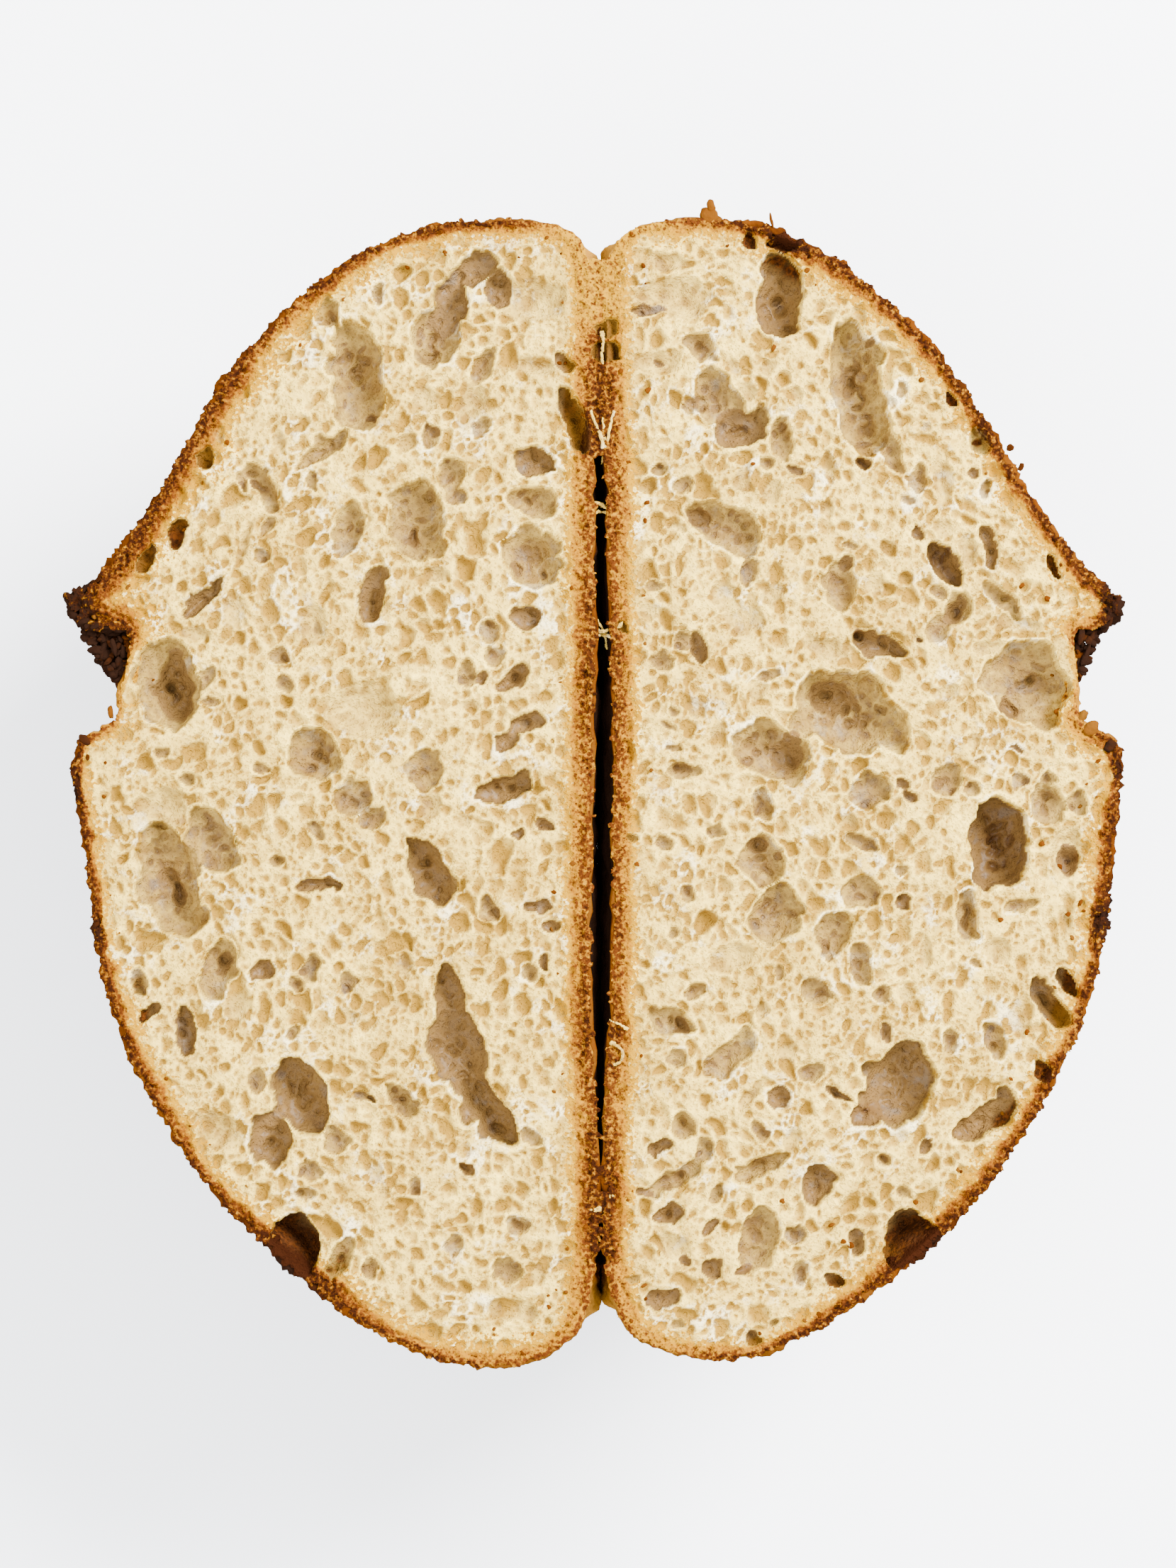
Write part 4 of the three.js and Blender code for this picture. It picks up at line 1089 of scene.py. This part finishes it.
class Socket:
    """A shader socket that takes part in sums; each sum adds a Math node."""

    def __init__(self, finish, socket):
        self.finish = finish
        self.socket = socket

    def __add__(self, other):
        return self.finish.sum("ADD", self, other)

    def __radd__(self, other):
        return self.finish.sum("ADD", other, self)

    def __sub__(self, other):
        return self.finish.sum("SUBTRACT", self, other)

    def __rsub__(self, other):
        return self.finish.sum("SUBTRACT", other, self)

    def __mul__(self, other):
        return self.finish.sum("MULTIPLY", self, other)

    def __rmul__(self, other):
        return self.finish.sum("MULTIPLY", other, self)

    def __truediv__(self, other):
        return self.finish.sum("DIVIDE", self, other)

    def held(self):
        """The same value, kept between 0 and 1."""
        return self.finish.sum("ADD", self, 0.0, clamp=True)


class Finish:
    """A material, and the nodes that are added to it."""

    def __init__(self, name, constants):
        self.material = bpy.data.materials.new(name)
        self.material.use_nodes = True
        self.tree = self.material.node_tree
        self.shader = self.tree.nodes["Principled BSDF"]
        for key, value in constants.items():
            self.shader.inputs[key].default_value = value

    def node(self, kind, settings, inputs, output=0):
        """A node of any kind: settings first, then values or links for its sockets."""
        made = self.tree.nodes.new(kind)
        for key, value in settings.items():
            if key == "stops":
                self.set_stops(made.color_ramp.elements, value)
            else:
                setattr(made, key, value)
        for key, value in inputs.items():
            self.feed(made.inputs[key], value)
        return Socket(self, made.outputs[output])

    @staticmethod
    def set_stops(elements, stops):
        """Gives a colour ramp its stops, each a place and a colour."""
        for _ in range(len(stops) - 2):
            elements.new(0.5)
        for element, (place, colour) in zip(elements, stops):
            element.position = place
            element.color = colour

    def feed(self, socket, value):
        """Links a socket to another one, or gives it a plain value."""
        if isinstance(value, Socket):
            self.tree.links.new(value.socket, socket)
        else:
            socket.default_value = value

    def reading(self, layer):
        """One of the mesh's point layers."""
        return self.node("ShaderNodeAttribute", {"attribute_name": layer}, {}, "Fac")

    def place(self):
        return self.node("ShaderNodeTexCoord", {}, {}, "Object")

    def noise(self, place, wave, detail=2.0):
        """Noise from about -0.5 to 0.5, with bumps about wave millimetres apart."""
        inputs = {"Vector": place, "Scale": 1 / (wave * MM), "Detail": detail}
        return self.node("ShaderNodeTexNoise", {}, inputs, "Fac") - 0.5

    def pores(self, place, spacing, reach):
        """1 in the middle of small round pores, 0 between them."""
        inputs = {"Vector": place, "Scale": 1 / (spacing * MM)}
        away = self.node("ShaderNodeTexVoronoi", {}, inputs, "Distance")
        return self.step(away, reach + 0.12, reach - 0.12)

    def sum(self, operation, *terms, clamp=False):
        """A Math node on the terms."""
        settings = {"operation": operation, "use_clamp": clamp}
        return self.node("ShaderNodeMath", settings, dict(enumerate(terms)))

    def mix(self, part, first, second):
        """The first colour where part is 0 and the second where it is 1."""
        inputs = {0: part, 6: first, 7: second}
        return self.node("ShaderNodeMix", {"data_type": "RGBA"}, inputs, 2)

    def ramp(self, value, stops):
        return self.node("ShaderNodeValToRGB", {"stops": stops}, {"Fac": value}, "Color")

    def step(self, value, low, high):
        """0 below low, 1 above high, and smooth between; low may be above high."""
        settings = {"interpolation_type": "SMOOTHSTEP"}
        return self.node("ShaderNodeMapRange", settings, {0: value, 1: low, 2: high})

    def give(self, colour, roughness, height, distance):
        """Joins up the colour, the roughness and a bump of a height in millimetres."""
        self.feed(self.shader.inputs["Base Color"], colour)
        self.feed(self.shader.inputs["Roughness"], roughness)
        inputs = {"Strength": 1.0, "Distance": distance * MM, "Height": height}
        self.feed(self.shader.inputs["Normal"], self.node("ShaderNodeBump", {}, inputs))
        return self.material


def full(colour):
    """A colour with full opacity."""
    return (*colour, 1.0)


def crumb_finish(colours):
    """Cream crumb, glossier in its hollows, darker in them and in its cells by painted shade that is
    partly their own tone, with browned crust at its edge.
    """
    finish = Finish("opened crumb", {"Specular IOR Level": 0.0, "Coat Roughness": 0.35})
    cell, shade, rind, bake, fine = (
        finish.reading(layer) for layer in ("cell", "shade", "rind", "bake", "fine"))
    place = finish.place()
    patch, mottle = finish.noise(place, 16), finish.noise(place, 2.4, 3.0)
    speck, grit = finish.noise(place, 0.7, 2.0), finish.noise(place, 0.9, 3.0)
    # Darker dots in small pores, which the bump below sinks as pits: painted shade
    pores = finish.pores(place, 1.25, 0.34) * finish.step(mottle, -0.12, 0.1)
    pores = finish.sum("MAXIMUM", pores, finish.pores(place, 0.7, 0.3) * 0.7)
    cloud = finish.noise(place, 5.5, 2.0)
    # The cell layer draws the crumb towards the cell colour: painted shade in the small cells, partly
    # their golden tone
    deep = cell * 0.6 + patch * 0.6 + cloud * 0.9 + mottle * 0.5 + pores * 0.1 + 0.56
    crumb = finish.mix(deep.held(), full(colours.ridge), full(colours.cell))
    crumb = finish.mix((fine * 0.4 + speck * 0.3).held(), crumb, full(colours.fine))
    veil = finish.step(finish.noise(place, 8.0, 3.0) + mottle * 0.4 - cell * 0.3, 0.02, 0.3) * 0.7
    crumb = finish.mix(veil, crumb, full(colours.veil))
    near = finish.step(rind - bake * 1.5, 3.8, 2.2)
    burnt = (grit * 4.5 + 0.6).held()
    burnt = finish.mix(burnt, full(colours.rind_brown), full(colours.rind_dark))
    burnt = finish.mix(finish.step(bake, 0.5, 0.85), full(colours.pocket), burnt)
    wall = finish.mix(near * 0.95, full(colours.hollow), burnt)
    film = finish.step(cloud + mottle * 0.5, 0.08, 0.3) * 0.6
    wall = finish.mix((film - near * 0.6).held(), wall, full(colours.film))
    # Hollows and caves take their colours by shade: painted shade, partly the walls' own darker tone
    hollow = finish.mix(finish.step(shade + mottle * 0.2, 0.1, 0.7), crumb, wall)
    cave = finish.mix(finish.step(shade + mottle * 0.2, 0.75, 1.4), hollow, full(colours.cave))
    inner = rind + mottle * 1.2 + speck * 0.8 + cloud * 0.9
    open_cut = 1 - finish.step(shade, 0.25, 0.55)
    amber = finish.step(bake, 0.4, 0.75)
    amber = finish.mix(amber, full(colours.rind_gold), full(colours.rind_amber))
    amber = finish.mix(finish.step(bake, 0.25, -0.1), amber, full(colours.toast))
    toast = finish.step(inner + grit * 9.0, 3.5, 2.6) * open_cut
    gold = finish.step(inner + grit * 0.8, 2.1, 1.5) * open_cut
    brown = finish.step(inner - bake * 1.5, 0.5, -0.15) * open_cut
    dark = finish.step(inner - bake * 1.1, 0.35, -0.1) * finish.step(bake, 0.25, 0.7)
    char = finish.step(bake + mottle * 0.5, 0.95, 1.4) * brown
    # The pores darken the cut crust in its pits, a painted shade; the grit is its own speckle
    rough = pores * 0.6 + grit * 3.5
    colour = finish.mix(toast, cave, full(colours.toast))
    colour = finish.mix(gold, colour, amber)
    for share, coat in (
        (gold * (-0.1 - rough * 0.8), colours.toast),
        (brown * 0.75 + gold * (rough * 1.2 + 0.1), colours.rind_brown),
        (dark + char * 0.7 + brown * (rough - 0.4), colours.rind_dark),
        (char * (rough + 0.45), colours.crust_char),
    ):
        colour = finish.mix(share.held(), colour, full(coat))
    roughness = 0.72 - 0.22 * finish.step(shade, 0.2, 0.8) - 0.12 * gold + mottle * 0.2
    gloss = finish.step(shade, 0.3, 0.8) * finish.step(rind, 4.0, 7.0) * 0.15
    finish.feed(finish.shader.inputs["Coat Weight"], gloss)
    height = finish.noise(place, 0.9, 3.0) + finish.noise(place, 0.35, 2.0) * 0.5 - pores * 0.8
    return finish.give(colour, roughness, height, 0.3)


def crust_finish(colours):
    """Baked crust from pale gold through chestnut to char, with a golden torn score."""
    finish = Finish("baked crust", {"Specular IOR Level": 0.0})
    bake, score, blister = (finish.reading(layer) for layer in ("bake", "score", "blister"))
    place = finish.place()
    patch, mottle = finish.noise(place, 11), finish.noise(place, 2.6, 4.0)
    speck = finish.noise(place, 0.6)
    tone = (bake + patch * 0.3 + mottle * 0.35 + speck * 0.12 - blister * 0.06) / 1.2
    colour = finish.ramp(tone, [
        (0.0, full(colours.crust_pale)), (0.25, full(colours.crust_gold)),
        (0.58, full(colours.crust_chestnut)), (0.78, full(colours.crust_brown)),
        (1.0, full(colours.crust_char)),
    ])
    drawn_out = finish.node("ShaderNodeMapping", {}, {"Vector": place, "Scale": (0.25, 1, 1)})
    streak = finish.noise(drawn_out, 1.6, 4.0)
    torn = finish.mix((streak * 1.8 + 0.45).held(), full(colours.crust_gold), full(colours.score))
    colour = finish.mix(score * 0.85, colour, torn)
    roughness = 0.62 + mottle * 0.25 + 0.1 * score - 0.08 * blister
    height = finish.noise(place, 1.1, 4.0) + speck * 0.4 + streak * score * 0.8
    return finish.give(colour, roughness, height, 0.35)


def floor_finish(colours):
    """A pale floor with hardly any grain."""
    finish = Finish("pale floor", {"Specular IOR Level": 0.2})
    grain = finish.noise(finish.place(), 4.0)
    return finish.give(full(colours.floor), 0.7 + grain * 0.05, grain, 0.02)


def linear(code):
    """A colour as shader numbers, from its usual six-figure code."""
    parts = [int(code[i:i + 2], 16) / 255 for i in (0, 2, 4)]
    return [p / 12.92 if p < 0.04045 else ((p + 0.055) / 1.055) ** 2.4 for p in parts]


def colour_setting(name, description, code):
    """A colour that the panel shows, with its usual code as the default."""
    return FloatVectorProperty(name=name, description=description, subtype="COLOR", size=3,
                               min=0, max=1, default=linear(code))


class LoafSizes(bpy.types.PropertyGroup):
    """How finely the pieces are built, and the size of the stage."""

    crumb_step: FloatProperty(
        name="Crumb step", description="Spacing of the points on the cut faces", unit="LENGTH",
        default=0.00036, min=0.0003, max=0.002, precision=5)
    crust_step: FloatProperty(
        name="Crust step", description="Spacing of the points on the crust", unit="LENGTH",
        default=0.00105, min=0.0008, max=0.004, precision=5)
    floor_size: FloatProperty(
        name="Floor size", description="Length of the pale floor's side", unit="LENGTH",
        default=6.0, min=1, max=20)
    camera_height: FloatProperty(
        name="Camera height", description="Camera above the cut faces", unit="LENGTH",
        default=0.9, min=0.3, max=3)


class LoafColours(bpy.types.PropertyGroup):
    """The colours of crumb, cut crust, outer crust and floor."""

    ridge: colour_setting("Crumb ridge", "Edges between the cells", "FAD86C")
    veil: colour_setting("Crumb veil", "Whiter films over the crumb", "F8E8B6")
    # The cell colour is laid by the cells' tone: painted shade, partly their golden tone
    cell: colour_setting("Crumb cell", "Inside small cells", "86641F")
    toast: colour_setting("Toasted crumb", "Crumb that browned beside the crust", "966A08")
    fine: colour_setting("Fine crumb", "Tight crumb by the crust", "896927")
    # Hollow and cave are laid by the hollows' shade: painted shade, partly the walls' own darker tone
    hollow: colour_setting("Hollow", "Walls of the large hollows", "674D29")
    film: colour_setting("Film", "Greyish film that lines parts of the hollows", "665A4C")
    cave: colour_setting("Cave", "The deepest hollows", "3A2110")
    pocket: colour_setting("Pocket", "Hollows that open in the paler cut crust", "583A10")
    rind_gold: colour_setting("Rind gold", "Inner part of the cut crust", "8E5E08")
    rind_amber: colour_setting("Rind amber", "Inner part of the cut crust where it is darker", "6E3F08")
    rind_brown: colour_setting("Rind brown", "Middle of the cut crust", "4A240A")
    rind_dark: colour_setting("Rind dark", "Outer edge of the cut crust", "251006")
    crust_pale: colour_setting("Pale crust", "Least baked crust", "825A1A")
    crust_gold: colour_setting("Golden crust", "Lightly baked crust", "56350C")
    crust_chestnut: colour_setting("Chestnut crust", "Well baked crust", "4D2605")
    crust_brown: colour_setting("Brown crust", "Dark crust", "331705")
    crust_char: colour_setting("Charred crust", "Scorched places", "1A0E08")
    score: colour_setting("Score", "Torn crust in the opened score", "956510")
    floor: colour_setting("Floor", "The pale floor", "FBFCFE")


def settle(piece, material):
    """Gives a piece its finish, and its place in the frame."""
    piece.data.materials.append(material)
    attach(piece, BODY)
    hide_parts(NODE)


def shared_material(name, maker, context):
    """The material of that name, made at its first use."""
    return bpy.data.materials.get(name) or maker(context.scene.loaf_colours)


class LOAF_OT_crumb(bpy.types.Operator):
    """Carves both cut faces, in four closed pieces"""
    bl_idname = "loaf.crumb"
    bl_label = "Crumb"

    def execute(self, context):
        step = context.scene.loaf_sizes.crumb_step / MM
        face = CutFaces(step)
        squares = face.kept_squares()
        middle_row = int((0.0 - face.y[0, 0]) / step)
        middle_column = int((FOLD_X - face.x[0, 0]) / step)
        material = shared_material("opened crumb", crumb_finish, context)
        halves = {"left": slice(None, middle_column), "right": slice(middle_column, None)}
        ends = {"lower": slice(None, middle_row), "upper": slice(middle_row, None)}
        for across, columns in halves.items():
            for along, lines in ends.items():
                part = np.zeros_like(squares)
                part[lines, columns] = squares[lines, columns]
                piece = crumb_quarter(f"crumb_{across}_{along}", face, part)
                settle(piece, material)
        return {"FINISHED"}


class LOAF_OT_crust(bpy.types.Operator):
    """Lofts the crust of each half down from the cut outline"""
    bl_idname = "loaf.crust"
    bl_label = "Crust"

    def execute(self, context):
        step = context.scene.loaf_sizes.crust_step / MM
        material = shared_material("baked crust", crust_finish, context)
        for name, side in (("crust_left", LEFT), ("crust_right", RIGHT)):
            settle(crust_shell(name, side, step), material)
        return {"FINISHED"}


class LOAF_OT_strands(bpy.types.Operator):
    """Draws the strands of crumb that still cross the fold"""
    bl_idname = "loaf.strands"
    bl_label = "Strands"

    def execute(self, context):
        points, faces, count = [], [], 0
        for number, (path, radius) in enumerate(STRANDS):
            some, parts = soft_tube(path, 0.5 * radius, 60 + number)
            some[:, 2] += CUT_FACE_Z
            points.append(some)
            faces += [part + count for part in parts]
            count += len(some)
        points = np.concatenate(points)
        flat = np.zeros(count)
        layers = {"cell": flat + 0.2, "shade": flat, "rind": flat + 4.5, "bake": flat + 0.2,
                  "fine": flat}
        piece = make_mesh("strands", points, faces, layers)
        settle(piece, shared_material("opened crumb", crumb_finish, context))
        return {"FINISHED"}


class LOAF_OT_flakes(bpy.types.Operator):
    """Lays flakes of crust and loose crumbs on the cut faces and at the rims"""
    bl_idname = "loaf.flakes"
    bl_label = "Flakes"

    def execute(self, context):
        bpy.ops.mesh.primitive_ico_sphere_add(subdivisions=3, radius=1)
        ball = context.active_object
        corners = np.array([v.co for v in ball.data.vertices])
        triangles = np.array([p.vertices for p in ball.data.polygons])
        bpy.data.objects.remove(ball)
        face = CutFaces(LAYING_STEP)
        rows = FLAKES + loose_crumbs() + score_shreds()
        points, faces, bakes = flake_arrays((corners, triangles), rows, face)
        flat = np.zeros(len(points))
        layers = {"bake": bakes, "score": flat, "blister": flat}
        piece = make_mesh("flakes", points, [faces], layers)
        settle(piece, shared_material("baked crust", crust_finish, context))
        return {"FINISHED"}


class LOAF_OT_stage(bpy.types.Operator):
    """Sets the pale floor, the soft lights and the camera"""
    bl_idname = "loaf.stage"
    bl_label = "Stage"

    def execute(self, context):
        sizes = context.scene.loaf_sizes
        bpy.ops.mesh.primitive_plane_add(size=sizes.floor_size)
        floor = context.active_object
        floor.name = "floor"
        floor.data.materials.append(shared_material("pale floor", floor_finish, context))
        for row in LIGHTS:
            self.light(context, *row)
        world = bpy.data.worlds.new("room")
        context.scene.world = world
        world.use_nodes = True
        backdrop = world.node_tree.nodes["Background"]
        backdrop.inputs["Color"].default_value = ROOM_COLOUR
        backdrop.inputs["Strength"].default_value = ROOM_STRENGTH
        camera = bpy.data.cameras.new("camera")
        camera.sensor_width = SENSOR_WIDTH
        camera.lens = SENSOR_WIDTH * sizes.camera_height / FRAME_LENGTH
        camera.clip_start = 0.05
        view = bpy.data.objects.new("camera", camera)
        context.collection.objects.link(view)
        view.location = (FRAME_MIDDLE[0], FRAME_MIDDLE[1], CUT_FACE_Z * MM + sizes.camera_height)
        context.scene.camera = view
        return {"FINISHED"}

    def light(self, context, name, place, size, power):
        """One square lamp that is turned to the middle of the cut faces."""
        lamp = bpy.data.lights.new(name, "AREA")
        lamp.size = size
        lamp.energy = power
        lamp_object = bpy.data.objects.new(name, lamp)
        context.collection.objects.link(lamp_object)
        lamp_object.location = place
        aim = Vector((0, 0, CUT_FACE_Z * MM)) - Vector(place)
        lamp_object.rotation_euler = aim.to_track_quat("-Z", "Y").to_euler()


class LOAF_PT_panel(bpy.types.Panel):
    """Shows the settings and a button for each operator"""
    bl_label = "Loaf"
    bl_idname = "LOAF_PT_panel"
    bl_space_type = "VIEW_3D"
    bl_region_type = "UI"
    bl_category = "Loaf"

    def draw(self, context):
        for group in (context.scene.loaf_sizes, context.scene.loaf_colours):
            for key in group.bl_rna.properties.keys():
                if key not in ("rna_type", "name"):
                    self.layout.prop(group, key)
        for operator in OPERATORS:
            self.layout.operator(operator.bl_idname)


OPERATORS = (LOAF_OT_crumb, LOAF_OT_crust, LOAF_OT_strands, LOAF_OT_flakes, LOAF_OT_stage)
CLASSES = (LoafSizes, LoafColours, *OPERATORS, LOAF_PT_panel)


def register():
    for item in CLASSES:
        bpy.utils.register_class(item)
    bpy.types.Scene.loaf_sizes = PointerProperty(type=LoafSizes)
    bpy.types.Scene.loaf_colours = PointerProperty(type=LoafColours)


def unregister():
    del bpy.types.Scene.loaf_colours
    del bpy.types.Scene.loaf_sizes
    for item in reversed(CLASSES):
        bpy.utils.unregister_class(item)


def main():
    register()
    bpy.ops.loaf.crumb()
    bpy.ops.loaf.crust()
    bpy.ops.loaf.strands()
    bpy.ops.loaf.flakes()
    bpy.ops.loaf.stage()


if __name__ == "__main__":
    main()
